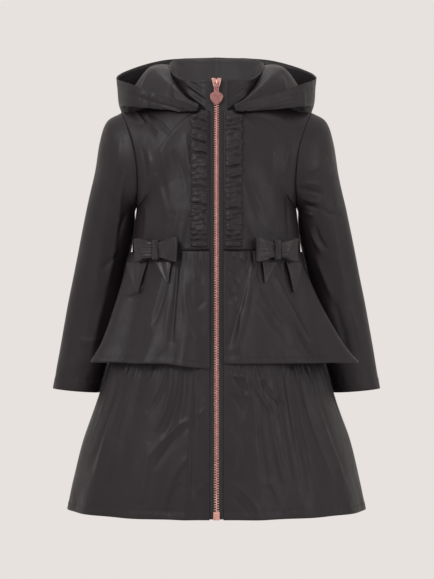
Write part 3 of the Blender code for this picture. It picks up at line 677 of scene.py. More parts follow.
def hood_surface(share, outs):
    """One row of the right half of the hood at a share along it: outs from the neck seam to the rim."""
    angle, lip_rise, crest_out, fold_x, fold_y, fold_z, rim_x, rim_y, rim_z = along(HOOD, share)
    foot = points(*along(NECK, angle))
    away = unit(points(foot[0], foot[1], 0))
    foot = foot + away * (CLOTH + 4 * SEAM) + np.array((0, 0, 3 * SEAM))
    climb = collar_surface(angle, lip_rise / 2) + away * (LIP_OUT + CLOTH)
    lip = collar_surface(angle, lip_rise) + away * (LIP_OUT + CLOTH)
    crest = collar_surface(angle, lip_rise) + away * (LIP_OUT + crest_out + CLOTH)
    section = (
        (0.000, *foot),
        (0.125, *climb),
        (0.250, *lip),
        (0.375, *crest),
        (0.750, fold_x, fold_y, fold_z),
        (1.000, rim_x, rim_y, rim_z),
    )
    return points(*along(section, outs))


def crease_height(creases, x, z):
    """Listed creases on a panel seen flat: each follows a bent line and dies away at its ends."""
    height = 0 * x
    for x1, z1, x2, z2, x3, z3, width, tall in creases:
        best = np.full(x.shape, 1e9)
        place = np.zeros(x.shape)
        count = 10
        for k in range(count):
            t1, t2 = k / count, (k + 1) / count
            ax, az = bent(x1, x2, x3, t1), bent(z1, z2, z3, t1)
            bx, bz = bent(x1, x2, x3, t2), bent(z1, z2, z3, t2)
            long = math.hypot(bx - ax, bz - az)
            s = np.clip(((x - ax) * (bx - ax) + (z - az) * (bz - az)) / long**2, 0, 1)
            away = np.hypot(x - ax - s * (bx - ax), z - az - s * (bz - az))
            nearer = away < best
            best = np.where(nearer, away, best)
            place = np.where(nearer, t1 + s * (t2 - t1), place)
        fade = np.sqrt(np.clip(np.sin(math.pi * np.clip(place, 0, 1)), 0, 1))
        soft = width * (0.75 + 0.5 * place)
        height = height + CREASE_SCALE * tall * fade / (1 + (best / soft) ** 2) ** 1.6
    return height


def bent(a, b, c, t):
    """A point at share t of a curve from a to c that passes b half way."""
    return a * (1 - t) * (1 - 2 * t) + b * 4 * t * (1 - t) + c * t * (2 * t - 1)


def share_creases(creases, side, share, out, across_mm, out_mm):
    """Creases that are placed by shares of a panel, measured in millimetres on its cloth."""
    rows = []
    for crease_side, s1, o1, s2, o2, width, tall in creases:
        if crease_side in (0, side):
            bow = 0.04 * (1 if tall > 0 else -1)
            middle = ((s1 + s2) / 2 + bow / 4, (o1 + o2) / 2 + bow)
            rows.append(
                (s1 * across_mm, o1 * out_mm, middle[0] * across_mm, middle[1] * out_mm,
                 s2 * across_mm, o2 * out_mm, width, tall)
            )
    return crease_height(rows, share * across_mm, out * out_mm)


def soft_noise(grid, scale, seed):
    """Smooth unevenness of the cloth, stretched down the panel, from -1 to 1."""
    flat = grid.reshape(-1, 3) / np.array((scale, scale, scale * 2.6))
    found = [noise.noise(Vector(p) + Vector((seed * 7.3, seed * 3.1, 0))) for p in flat]
    return np.array(found).reshape(grid.shape[:2])


def spans(grid):
    """How far each point lies along the cloth from the top, the foot, the first and the last edge."""
    rows = np.linalg.norm(np.diff(grid, axis=0), axis=-1)
    down = np.concatenate([np.zeros((1, grid.shape[1])), np.cumsum(rows, axis=0)])
    columns = np.linalg.norm(np.diff(grid, axis=1), axis=-1)
    across = np.concatenate([np.zeros((grid.shape[0], 1)), np.cumsum(columns, axis=1)], axis=1)
    return down, down[-1:] - down, across, across[:, -1:] - across


def seam_dip(away):
    """The cloth turns in at a seam."""
    return -SEAM_DIP * np.exp(-((away / SEAM_REACH) ** 2))


def hem_relief(away, band, along_edge, seed):
    """A turned hem: a slightly raised band, and a groove with small puckers under its stitches."""
    groove = np.exp(-(((away - band) / 0.0016) ** 2))
    raised = 0.0005 * (1 - ease((away - band + 0.001) / 0.002))
    pucker = 0.00022 * np.sin(along_edge * 620 + 5 * np.sin(along_edge * 43 + seed))
    pull = 0.0006 * np.sin(along_edge * 190 + 3 * np.sin(along_edge * 31 + seed))
    near = np.exp(-(((away - band) / 0.006) ** 2))
    return raised - 0.0006 * groove + (pucker + 0.35 * pull) * near


def outward(grid, closed, flip):
    """Unit normals of a grid of points whose rows run down and columns right as seen from outside."""
    down = np.gradient(grid, axis=0)
    if closed:
        right = np.roll(grid, -1, axis=1) - np.roll(grid, 1, axis=1)
    else:
        right = np.gradient(grid, axis=1)
    return unit(np.cross(down, right)) * (-1 if flip else 1)


def raised(grid, relief, closed=False, flip=False):
    """The grid moved out along its normals by the relief, and the new normals."""
    moved = grid + outward(grid, closed, flip) * relief[..., None]
    return moved, outward(moved, closed, flip)


def to_side(side, *grids):
    """The same grids on the photo's left, side -1, or right, side 1."""
    turn = np.array((side, 1.0, 1.0))
    return [g * turn for g in grids]


def shell(name, grid, flip, finish, node, closed=False, wall=CLOTH):
    """A cloth wall whose outer face is the grid. It stands for a CAD node."""
    rows, columns = grid.shape[:2]
    strips = columns if closed else columns - 1
    i, j = np.meshgrid(np.arange(rows - 1), np.arange(strips), indexing="ij")
    k = (j + 1) % columns
    here, below = i * columns, (i + 1) * columns
    faces = np.stack([here + j, below + j, below + k, here + k], axis=-1).reshape(-1, 4)
    if flip:
        faces = faces[:, ::-1]
    obj = piece(name, smooth_mesh(name, grid, faces.tolist()), finish, node=node)
    solid = obj.modifiers.new("Cloth", "SOLIDIFY")
    solid.thickness = wall
    solid.offset = -1


def smooth_mesh(name, vertices, faces):
    mesh = bpy.data.meshes.new(name)
    mesh.from_pydata(vertices.reshape(-1, 3).tolist(), [], faces)
    mesh.update()
    mesh.shade_smooth()
    return mesh


def piece(name, mesh, finish, body="root", node=None):
    """A piece of the coat that rides on a body and may stand for a CAD node."""
    mesh.materials.append(finish)
    obj = bpy.data.objects.new(name, mesh)
    bpy.context.scene.collection.objects.link(obj)
    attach(obj, body)
    if node:
        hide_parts(node)
    return obj


def path_points(path, spacing):
    """Evenly spaced places along a path of points, as fractional indices."""
    lengths = np.concatenate([[0], np.cumsum(np.linalg.norm(np.diff(path, axis=0), axis=1))])
    count = max(int(lengths[-1] / spacing), 1)
    at = (np.arange(count) + 0.5) * spacing
    return np.interp(at[at < lengths[-1]], lengths, np.arange(len(path)))


def on_path(path, index):
    low = np.clip(np.floor(index).astype(int), 0, len(path) - 2)
    t = (index - low)[:, None]
    return path[low] * (1 - t) + path[low + 1] * t


def stitches(name, path, normals):
    """A row of thread stitches that lie on a path of points."""
    index = path_points(path, STITCH_PITCH)
    middle = on_path(path, index)
    out = unit(on_path(normals, index))
    after = on_path(path, np.minimum(index + 0.5, len(path) - 1))
    ahead = unit(after - on_path(path, np.maximum(index - 0.5, 0)))
    wide = unit(np.cross(out, ahead))
    around = 6
    rings = ((-0.5, 0.30, -0.6), (-0.34, 0.95, 0.5), (0.0, 1.0, 0.8), (0.34, 0.95, 0.5), (0.5, 0.30, -0.6))
    vertices = []
    for share, thick, lift in rings:
        for k in range(around):
            turn = math.tau * k / around
            offset = ahead * share * STITCH_LENGTH
            offset = offset + wide * STITCH_RADIUS * thick * math.cos(turn)
            offset = offset + out * STITCH_RADIUS * (thick * math.sin(turn) + lift)
            vertices.append(middle + offset)
    vertices = np.stack(vertices, axis=1)
    per = len(rings) * around
    faces = []
    for r in range(len(rings) - 1):
        for k in range(around):
            n = (k + 1) % around
            faces.append((r * around + k, (r + 1) * around + k, (r + 1) * around + n, r * around + n))
    all_faces = []
    for s in range(len(middle)):
        base = s * per
        all_faces += [tuple(v + base for v in face) for face in faces]
        all_faces.append(tuple(base + k for k in range(around)))
        all_faces.append(tuple(base + per - 1 - k for k in range(around)))
    piece(name, smooth_mesh(name, vertices, all_faces), THREAD)


class Nodes:
    """A material's node tree, with short calls to add and join nodes."""

    def __init__(self, name, slot):
        self.material = bpy.data.materials.new(name)
        self.material.use_nodes = True
        self.material["slot"] = slot
        self.tree = self.material.node_tree
        self.shader = self.tree.nodes["Principled BSDF"]
        self.where = self.tree.nodes.new("ShaderNodeTexCoord").outputs["Object"]

    def add(self, kind, **settings):
        node = self.tree.nodes.new(kind)
        for key, value in settings.items():
            setattr(node, key, value)
        return node

    def join(self, start, end):
        self.tree.links.new(start, end)

    def stretched(self, scale):
        """The object's coordinates, scaled along each axis."""
        node = self.add("ShaderNodeMapping")
        node.inputs["Scale"].default_value = scale
        self.join(self.where, node.inputs["Vector"])
        return node.outputs["Vector"]

    def noise(self, vector, scale, detail=3.0, rough=0.5, distortion=0.0):
        node = self.add("ShaderNodeTexNoise")
        node.inputs["Scale"].default_value = scale
        node.inputs["Detail"].default_value = detail
        node.inputs["Roughness"].default_value = rough
        node.inputs["Distortion"].default_value = distortion
        self.join(vector, node.inputs["Vector"])
        return node.outputs["Fac"]

    def bands(self, direction, scale):
        node = self.add("ShaderNodeTexWave", wave_type="BANDS", bands_direction=direction)
        node.inputs["Scale"].default_value = scale
        node.inputs["Distortion"].default_value = 0.6
        node.inputs["Detail"].default_value = 1.0
        self.join(self.where, node.inputs["Vector"])
        return node.outputs["Fac"]

    def math(self, operation, a, b):
        node = self.add("ShaderNodeMath", operation=operation)
        for value, socket in ((a, node.inputs[0]), (b, node.inputs[1])):
            if isinstance(value, (int, float)):
                socket.default_value = value
            else:
                self.join(value, socket)
        return node.outputs[0]

    def ranged(self, value, low, high):
        node = self.add("ShaderNodeMapRange")
        node.inputs["From Min"].default_value = 0.3
        node.inputs["From Max"].default_value = 0.7
        node.inputs["To Min"].default_value = low
        node.inputs["To Max"].default_value = high
        self.join(value, node.inputs["Value"])
        return node.outputs["Result"]

    def colours(self, value, first, second):
        node = self.add("ShaderNodeValToRGB")
        node.color_ramp.elements[0].position = 0.32
        node.color_ramp.elements[1].position = 0.68
        node.color_ramp.elements[0].color = (*first, 1)
        node.color_ramp.elements[1].color = (*second, 1)
        self.join(value, node.inputs["Fac"])
        return node.outputs["Color"]

    def bump(self, height, strength, distance, under=None):
        node = self.add("ShaderNodeBump")
        node.inputs["Strength"].default_value = strength
        node.inputs["Distance"].default_value = distance
        self.join(height, node.inputs["Height"])
        if under is not None:
            self.join(under, node.inputs["Normal"])
        return node.outputs["Normal"]


def cloth_finish(name, slot, dark, light, rough, sheen, crinkle):
    """Closely woven coated cloth: two near tones, fine weave, small crinkles, a soft sheen."""
    n = Nodes(name, slot)
    patches = n.noise(n.stretched((1, 1, 0.45)), 26, 4, 0.6, 0.8)
    n.join(n.colours(patches, dark, light), n.shader.inputs["Base Color"])
    wear = n.noise(n.stretched((1, 1, 0.5)), 90, 3, 0.6, 0.3)
    n.join(n.ranged(wear, rough - 0.05, rough + 0.06), n.shader.inputs["Roughness"])
    n.shader.inputs["Specular IOR Level"].default_value = 0.34
    n.shader.inputs["Sheen Weight"].default_value = sheen
    n.shader.inputs["Sheen Roughness"].default_value = 0.45
    n.shader.inputs["Sheen Tint"].default_value = (0.80, 0.72, 0.76, 1)
    weave = n.math("MULTIPLY", n.bands("X", 420), n.bands("Z", 470))
    fine = n.bump(weave, 0.20, 0.00012)
    small = n.noise(n.stretched((1, 1, 0.7)), 150, 3, 0.5, 0.6)
    broad = n.noise(n.stretched((1, 1, 0.6)), 34, 2, 0.5, 0.5)
    creased = n.bump(small, 0.30 * crinkle, 0.0005, fine)
    n.join(n.bump(broad, 0.28 * crinkle, 0.0026, creased), n.shader.inputs["Normal"])
    return n.material


def metal_finish(name, slot, dark, light, rough):
    """Plated metal with faint rubbed patches and fine scratches."""
    n = Nodes(name, slot)
    patches = n.noise(n.where, 210, 3)
    n.join(n.colours(patches, dark, light), n.shader.inputs["Base Color"])
    n.shader.inputs["Metallic"].default_value = 1.0
    n.join(n.ranged(n.noise(n.where, 900, 4), rough - 0.06, rough + 0.08), n.shader.inputs["Roughness"])
    scratches = n.noise(n.stretched((1, 1, 0.12)), 2600, 2)
    n.join(n.bump(scratches, 0.12, 0.00008), n.shader.inputs["Normal"])
    return n.material


def tape_finish(name, slot, dark, light):
    """Herringbone tape: ribs down the tape and close weft rows across it."""
    n = Nodes(name, slot)
    n.join(n.colours(n.noise(n.where, 260, 3), dark, light), n.shader.inputs["Base Color"])
    n.shader.inputs["Roughness"].default_value = 0.72
    n.shader.inputs["Sheen Weight"].default_value = 0.05
    ribs = n.math("ADD", n.bands("X", 280), n.bands("Z", 330))
    n.join(n.bump(ribs, 0.6, 0.0003), n.shader.inputs["Normal"])
    return n.material


COAT_DARK, COAT_LIGHT = (0.0080, 0.0052, 0.0074), (0.0120, 0.0084, 0.0110)
SATIN_DARK, SATIN_LIGHT = (0.0125, 0.0090, 0.0112), (0.0180, 0.0138, 0.0165)
THREAD_DARK, THREAD_LIGHT = (0.013, 0.011, 0.012), (0.022, 0.019, 0.021)
COAT = cloth_finish("coat cloth", "coat_cloth", COAT_DARK, COAT_LIGHT, 0.50, 0.02, 1.0)
SATIN = cloth_finish("bow satin", "bow_satin", SATIN_DARK, SATIN_LIGHT, 0.36, 0.03, 0.5)
THREAD = cloth_finish("sewing thread", "coat_cloth", THREAD_DARK, THREAD_LIGHT, 0.55, 0.06, 0.2)
TAPE = tape_finish("zip tape", "zip_tape", (0.008, 0.007, 0.008), (0.014, 0.012, 0.0135))
ROSE = metal_finish("rose gold", "rose_gold", (0.66, 0.33, 0.29), (0.82, 0.48, 0.42), 0.24)
# A darker, rougher copy of the rose gold for the pull tab: its darker colour is painted shade.
SHADED_ROSE = metal_finish("rose gold with painted shade", "rose_gold", (0.30, 0.135, 0.130), (0.44, 0.215, 0.205), 0.36)


# The photo's left and right
SIDES = ((-1, "left"), (1, "right"))


def counted(length):
    """How many rows or columns a length gets."""
    return int(round(length / STEP)) + 1


def panel_mesh(span):
    """Shares across and down for a panel of this size."""
    return mesh_of(counted(span[1]), counted(span[0]))


def bodice_front(side, word):
    across, down = panel_mesh(BODICE_FRONT_SPAN)
    grid = bodice_surface(across, down, False)
    top, foot, centre, outer = spans(grid)
    x, z = side * grid[..., 0] * 1000, grid[..., 2] * 1000
    relief = crease_height(BODICE_FRONT_CREASES, x, z) / 1000
    relief = relief + BODICE_UNEVEN * soft_noise(grid, 0.026, side + 2)
    waist = gather_height(FRONT_WAIST_GATHERS, 11 + side, across, foot / GATHER_REACH) * ease(centre / 0.006)
    relief = relief * ease(foot / EDGE_FADE) * ease(top / EDGE_FADE)
    relief = relief * ease(centre / FRONT_EDGE_FADE) * ease(outer / EDGE_FADE)
    relief = relief + waist + seam_dip(foot) + ARMHOLE_DIP * seam_dip(outer) + seam_dip(top)
    moved, facing = raised(grid, relief)
    moved, facing = to_side(side, moved, facing)
    shell("front_" + word, moved, side < 0, COAT, "bodice_front_" + word)
    return moved, facing


def bodice_back():
    across, down = panel_mesh(BODICE_BACK_SPAN)
    half = bodice_surface(across, down, True)
    halves = []
    for side in (1, -1):
        top, foot, centre, outer = spans(half)
        # From behind, the coat's +X side is on the left.
        x, z = -side * half[..., 0] * 1000, half[..., 2] * 1000
        relief = crease_height(BODICE_BACK_CREASES, x, z) / 1000
        relief = relief + BODICE_UNEVEN * soft_noise(half * (side, 1, 1), 0.026, 5)
        relief = relief * ease(foot / EDGE_FADE) * ease(top / EDGE_FADE) * ease(outer / EDGE_FADE)
        relief = relief + gather_height(BACK_WAIST_GATHERS, 17 + side, across, foot / GATHER_REACH)
        relief = relief * ease(centre / 0.010) + seam_dip(foot)
        relief = relief + ARMHOLE_DIP * seam_dip(outer) + seam_dip(top)
        moved, facing = raised(half, relief, flip=True)
        halves.append(to_side(side, moved, facing))
    grid, facing = [np.concatenate([a[:, ::-1], b[:, 1:]], axis=1) for a, b in zip(*halves)]
    shell("back", grid, False, COAT, "bodice_back")
    return grid, facing


def joined(first, last):
    """The points and normals of two halves that meet at their last columns, as one panel's."""
    return [np.concatenate([a, b[:, ::-1][:, 1:]], axis=1) for a, b in zip(first, last)]


def sleeve(side, word):
    around, rows = [counted(length) for length in SLEEVE_SPAN]
    share = np.linspace(0, 1, rows)
    turn = math.tau * np.arange(around) / around
    turn, share = np.meshgrid(turn, share)
    grid = sleeve_surface(share, turn) + np.array((CURVED_SEAM, 0, 0))
    top, foot, _, _ = spans(grid)
    x, z = side * grid[..., 0] * 1000, grid[..., 2] * 1000
    front = ease(0.5 + np.sin(turn) * 2.2)
    relief = front * crease_height(SLEEVE_FRONT_CREASES, x, z)
    relief = relief + (1 - front) * crease_height(SLEEVE_BACK_CREASES, -x, z)
    relief = relief / 1000 + 0.0008 * soft_noise(grid, 0.030, 9 + side)
    inside = ease((np.cos(turn) + 0.75) * 3)
    relief = relief * ease(top / 0.006) * ease((foot - CUFF_HEM) / 0.02) * (0.35 + 0.65 * inside)
    girth = turn / math.tau * 0.22
    relief = relief + seam_dip(top) + hem_relief(foot, CUFF_HEM, girth, side)
    moved, facing = raised(grid, relief, closed=True, flip=True)
    moved, facing = to_side(side, moved, facing)
    shell("sleeve_shell_" + word, moved, side > 0, COAT, "sleeve_" + word, closed=True)
    return moved, facing


def collar():
    across, fall = panel_mesh(COLLAR_SPAN)
    rise = 1 - fall
    start = neck_angle_at_zip()
    half = collar_surface(start + (180 - start) * across, rise)
    half[:, 0, 0] = FRONT_EDGE_X
    half[:, -1, 0] = 0
    halves = []
    for side in (1, -1):
        top, foot, centre, _ = spans(half)
        relief = share_creases(COLLAR_CREASES, side, across, rise, 190, 54) / 1000
        relief = relief + 0.0005 * soft_noise(half * (side, 1, 1), 0.020, 13)
        relief = relief * ease(centre / 0.006) * ease(foot / 0.003)
        relief = relief + hem_relief(top, COLLAR_BAND, across * 0.19, side) * 0.7 + seam_dip(foot)
        moved, facing = raised(half, relief)
        moved[:, -1, 0] = 0
        halves.append(to_side(side, moved, facing))
    right, left = halves
    grid, facing = joined(left, right)
    shell("collar_shell", grid, True, COAT, "collar")
    return grid, facing


def hood(side, word):
    columns, rows = [counted(length) for length in HOOD_SPAN]
    shares = np.linspace(0, 1, columns)
    outs = np.linspace(1, 0, rows)
    grid = np.stack([hood_surface(share, outs) for share in shares], axis=1)
    grid[:, -1, 0] = CURVED_SEAM / 2
    share, out = np.meshgrid(shares, outs)
    rim, neck, front, centre = spans(grid)
    relief = share_creases(HOOD_CREASES, side, share, out, 330, 170) / 1000
    relief = relief + 0.0009 * soft_noise(grid, 0.028, 21 + side)
    relief = relief * ease(neck / 0.02) * ease(front / 0.006) * ease(centre / 0.004)
    relief = relief + hem_relief(rim, HOOD_BAND, share * 0.33, side) + seam_dip(centre)
    moved, facing = raised(grid, relief)
    moved[:, -1, 0] = np.maximum(moved[:, -1, 0], 0.0002)
    moved, facing = to_side(side, moved, facing)
    shell("hood_shell_" + word, moved, side < 0, COAT, "hood_" + word)
    return moved, facing


def strip_grid(side):
    """A ruched strip on the front panel's points: puffs between uneven tucks."""
    across, down = mesh_of(240, 36)
    z = STRIP_TOP_Z + (STRIP_FOOT_Z - STRIP_TOP_Z) * down
    wander = 0.0009 * np.sin(down * 61 + side) + 0.0006 * np.sin(down * 151 + 2 * side)
    x = STRIP_INNER_X + STRIP_WIDTH * across + wander * ease((across - 0.5) * 2)
    base = points(x, chest_y(x, z), z)
    puff = STRIP_PUFF * (1 - np.abs(2 * across - 1) ** 5) + 0.0009
    fall = (STRIP_TOP_Z - z) * 1000
    tuck = 0 * fall
    for outer, inner, reach, start, deep in STRIP_TUCKS[side]:
        line = outer + (inner - outer) * (1 - across) + 1.2 * np.sin(across * 5 + outer)
        crossing = across if start else 1 - across
        fade = 1 - ease((crossing - reach) / 0.25 + 0.5) if reach < 1 else 1.0
        gap = (fall - line) / 1.9
        tuck = tuck + deep * fade / (1 + gap * gap) ** 1.5
    ripple = 0.35 * np.sin(fall * 0.9 + 3 * np.sin(across * 4 + fall * 0.11))
    inside = ease((0.5 - np.abs(across - 0.5)) * 9 + 0.25)
    height = np.maximum(puff + (ripple - tuck) * 0.001 * inside, 0.0004)
    return base, height


def chest_y(x, z):
    """The front panel's y at places beside the zip, from rows of its points."""
    across, down = mesh_of(160, 60)
    panel = bodice_surface(across * 0.45, FRONT_NECK_SHARE + (1 - FRONT_NECK_SHARE) * down, False)
    heights = panel[:, 0, 2]
    row = np.interp(-z, -heights, np.arange(len(heights)))
    low = np.clip(np.floor(row).astype(int), 0, len(heights) - 2)
    found = np.zeros(z.shape)
    for i in range(z.shape[0]):
        r = low[i, 0]
        t = row[i, 0] - r
        line = panel[r] * (1 - t) + panel[r + 1] * t
        found[i] = np.interp(x[i], line[:, 0], line[:, 1])
    return found


def strip(side, word):
    base, height = strip_grid(side)
    out = height + CLOTH + SEAM
    grid = base - np.array((0, 1, 0)) * out[..., None]
    facing = outward(grid, False, False)
    grid, facing = to_side(side, grid, facing)
    shell("ruched_strip_shell_" + word, grid, side < 0, COAT, "ruched_strip_" + word, wall=STRIP_CLOTH)
    return grid, facing


def tier_front(name, node, side, tier, gathers, creases, width, hem):
    top_z, foot_z = tier[:2]
    across, drop = panel_mesh((width, top_z - foot_z + 0.01))
    edge = np.degrees(np.arcsin(FRONT_EDGE_X / half_width(top_z + (foot_z - top_z) * drop)))
    angle = edge + (90 - edge) * across
    gather = gather_height(gathers, 30 + 7 * side, across, drop) if gathers else 0 * drop
    grid = tier_surface(side, angle, drop, tier, gather)
    grid[:, 0, 0] = FRONT_EDGE_X
    grid[..., 1] -= CURVED_SEAM / 2
    top, foot, centre, outer = spans(grid)
    x, z = side * grid[..., 0] * 1000, grid[..., 2] * 1000
    relief = crease_height(creases, x, z) / 1000 + TIER_UNEVEN * soft_noise(grid, 0.030, 40 + side)
    relief = relief * ease(top / TIER_EDGE_FADE) * ease(foot / HEM_FADE)
    relief = relief * ease(centre / TIER_FRONT_EDGE_FADE) * ease(outer / TIER_EDGE_FADE)
    relief = relief + seam_dip(top) + seam_dip(outer)
    if hem:
        relief = relief + hem_relief(foot, HEM_BAND, across * width, side)
    moved, facing = raised(grid, relief)
    moved, facing = to_side(side, moved, facing)
    shell(name, moved, side < 0, COAT, node)
    return moved, facing


def tier_back(name, node, tier, gathers, creases, width, hem):
    top_z, foot_z = tier[:2]
    across, drop = panel_mesh((width, top_z - foot_z + 0.01))
    halves = []
    for side in (1, -1):
        gather = gather_height(gathers, 50 + 5 * side, across, drop) if gathers else 0 * drop
        grid = tier_surface(0, 90 + 90 * across, drop, tier, gather)
        grid[:, -1, 0] = 0
        grid[..., 1] += CURVED_SEAM / 2
        top, foot, outer, _ = spans(grid)
        x, z = -side * grid[..., 0] * 1000, grid[..., 2] * 1000
        relief = crease_height(creases, x, z) / 1000
        relief = relief + TIER_UNEVEN * soft_noise(grid * (side, 1, 1), 0.030, 44)
        relief = relief * ease(top / TIER_EDGE_FADE) * ease(foot / HEM_FADE) * ease(outer / TIER_EDGE_FADE)
        relief = relief + seam_dip(top) + seam_dip(outer)
        if hem:
            relief = relief + hem_relief(foot, HEM_BAND, across * width, side)
        moved, facing = raised(grid, relief)
        moved[:, -1, 0] = 0
        halves.append(to_side(side, moved, facing))
    right, left = halves
    grid, facing = joined(right, left)
    shell(name, grid, False, COAT, node)
    return grid, facing


def bow_place(grid, side):
    """Puts points modelled about the knot's centre on the coat's side."""
    turn = side * BOW_TURN
    x = grid[..., 0] * math.cos(turn) - grid[..., 1] * math.sin(turn)
    y = grid[..., 0] * math.sin(turn) + grid[..., 1] * math.cos(turn)
    return points(x + side * BOW_X, y + BOW_Y, grid[..., 2] + BOW_Z)


def bow_loop(name, node, side, way, seed):
    """One loop: a band that leaves the knot, folds over at its tip and comes back behind."""
    tip = LOOP_ROOT_X + LOOP_LENGTH
    reach = tip - LOOP_DEPTH
    half_turn = [math.pi * k / 10 for k in range(11)]
    route = [(LOOP_ROOT_X, -LOOP_DEPTH * 0.55), (LOOP_ROOT_X + LOOP_LENGTH * 0.35, -LOOP_DEPTH * 1.1)]
    route += [(reach + LOOP_DEPTH * math.sin(t), -LOOP_DEPTH * math.cos(t)) for t in half_turn]
    route += [(LOOP_ROOT_X + LOOP_LENGTH * 0.35, LOOP_DEPTH * 0.9), (LOOP_ROOT_X, LOOP_DEPTH * 0.55)]
    route = np.array(route)
    at = np.concatenate([[0], np.cumsum(np.linalg.norm(np.diff(route, axis=0), axis=1))])
    places = np.linspace(0, at[-1], 76)
    x = along(list(zip(at, route[:, 0])), places)[0]
    y = along(list(zip(at, route[:, 1])), places)[0]
    down = np.linspace(0, 1, 30)
    share = ease((x - LOOP_ROOT_X) / LOOP_LENGTH)
    half = LOOP_ROOT_HALF_HEIGHT + (LOOP_TIP_HALF_HEIGHT - LOOP_ROOT_HALF_HEIGHT) * share
    grid = points(x[None, :], y[None, :], half[None, :] * (1 - 2 * down[:, None]))
    near = np.exp(-(((x - LOOP_ROOT_X) / 0.016) ** 2))[None, :]
    fold = 0 * down[:, None]
    for k in range(5):
        centre = 0.16 + 0.17 * k + 0.05 * (uneven(k, seed) - 0.5)
        tall = 0.0011 * (0.5 + uneven(k, seed + 1))
        lean = 0.12 * (uneven(k, seed + 2) - 0.5) * share[None, :]
        fold = fold + tall * np.exp(-(((down[:, None] - centre - lean) / 0.045) ** 2))
    relief = fold * near + 0.0008 * np.sin(share[None, :] * 5 + down[:, None] * 4 + seed)
    relief = relief * ease(np.minimum(down, 1 - down)[:, None] * 9 + 0.3)
    moved, _ = raised(grid, relief)
    moved = moved * np.array((way, 1, 1))
    obj = shell(name, bow_place(moved, side), way < 0, SATIN, node, wall=BOW_CLOTH)
    return obj


def bow_knot(name, node, side):
    around, rows = 72, 34
    turn, down = np.meshgrid(math.tau * np.arange(around) / around, np.linspace(0, 1, rows))
    pinch = 1 + 0.10 * np.cos(math.tau * down) - 0.06
    x = KNOT_HALF_WIDTH * np.sin(turn) * pinch
    grid = points(x, -KNOT_HALF_DEPTH * np.cos(turn), KNOT_HALF_HEIGHT * (1 - 2 * down))
    front = ease(0.5 + np.cos(turn))
    relief = 0.0006 * np.cos(3.2 * np.sin(turn) * 2.4 + side) * front * np.sin(math.pi * down) ** 0.5
    moved, _ = raised(grid, relief, closed=True)
    shell(name, bow_place(moved, side), False, SATIN, node, closed=True, wall=BOW_CLOTH)


def bow_tail(name, node, side, corner_in, corner_out, tip, top_z, tip_z):
    """A tail that hangs on the peplum's points, moved out."""
    across, down = mesh_of(34, 24)
    z = top_z + (tip_z - top_z) * down
    start = corner_in + (corner_out - corner_in) * across
    x = start + (tip - start) * down * 0.9
    drop = (WAIST_Z - z) / (WAIST_Z - PEPLUM_FOOT_Z)
    angle = np.degrees(np.arcsin(np.minimum(x / (half_width(z) + PEPLUM_LIFT), 1)))
    base = tier_surface(side, angle, drop, PEPLUM, 0.0022 * (1 - 0.8 * ease(drop * 1.6)))
    away = unit(points(base[..., 0], base[..., 1], 0 * z))
    fold = 0.0010 * (1 - down) * np.sin(across * 9 + side) + 0.0006 * np.sin(down * 4)
    grid = base + away * (CLOTH + TAIL_OUT + 0.0004 + fold)[..., None]
    grid = to_side(side, grid)[0]
    shell(name, grid, side < 0, SATIN, node, wall=BOW_CLOTH)


def bows():
    for side, word in SIDES:
        stem = "bow_" + word
        bow_loop(stem + "_loop_outer", stem + "_outer_loop", side, side, 3 + side)
        bow_loop(stem + "_loop_inner", stem + "_inner_loop", side, -side, 9 + side)
        bow_knot(stem + "_band", stem + "_knot", side)
        for tail, *sizes in TAILS:
            bow_tail(f"{stem}_end_{tail}", f"{stem}_{tail}_tail", side, *sizes)


def tooth_mesh():
    """One tooth of the right row, about its own middle: the jaws on the tape and the nose across."""
    half = (
        (CHAIN_HALF_WIDTH, CHAIN_HALF_THICK),
        (0.0012, CHAIN_HALF_THICK),
        (0.0005, 0.0011),
        (-0.0011, 0.0009),
    )
    outline = [(x, -y) for x, y in half] + [(x, y) for x, y in reversed(half)]
    shape = bmesh.new()
    lower = [shape.verts.new((x, y, -TOOTH_HEIGHT / 2)) for x, y in outline]
    face = shape.faces.new(lower)
    lifted = bmesh.ops.extrude_face_region(shape, geom=[face])["geom"]
    for vertex in (v for v in lifted if isinstance(v, bmesh.types.BMVert)):
        vertex.co.z += TOOTH_HEIGHT
    bmesh.ops.recalc_face_normals(shape, faces=shape.faces)
    bmesh.ops.bevel(shape, geom=shape.edges[:], offset=TOOTH_BEVEL, segments=1, affect="EDGES")
    bmesh.ops.triangulate(shape, faces=shape.faces)
    vertices = np.array([v.co for v in shape.verts])
    faces = np.array([[v.index for v in f.verts] for f in shape.faces])
    shape.free()
    return vertices, faces


def zip_teeth():
    """Two rows of teeth that mesh, along the zip's curve."""
    vertices, faces = tooth_mesh()
    top, foot = SLIDER_FOOT_Z - 0.0008, BOX_TOP_Z + 0.0006
    count = int((top - foot) / TOOTH_PITCH + 0.25)
    all_vertices, all_faces = [], []
    for side in (-1, 1):
        for k in range(count):
            z = top - TOOTH_PITCH * (k + (0.25 if side < 0 else 0.75))
            y = -float(front_depth(z)) + CHAIN_CENTRE_BEHIND
            slope = (float(front_depth(z - 0.002)) - float(front_depth(z + 0.002))) / 0.004
            tilt = vertices * np.array((side, 1, 1))
            tilt[:, 2] -= slope * vertices[:, 1]
            all_faces.append((faces if side > 0 else faces[:, ::-1]) + len(all_vertices) * len(vertices))
            all_vertices.append(tilt + np.array((0, y, z)))
    mesh = bpy.data.meshes.new("zip_teeth")
    mesh.from_pydata(np.concatenate(all_vertices).tolist(), [], np.concatenate(all_faces).tolist())
    mesh.update()
    piece("zip_teeth", mesh, ROSE, node="zip_chain")


def both_sides(half):
    """A closed outline from its right half, given from top to bottom."""
    left = [(-x, z) for x, z in reversed(half) if x > 0]
    return list(half) + left


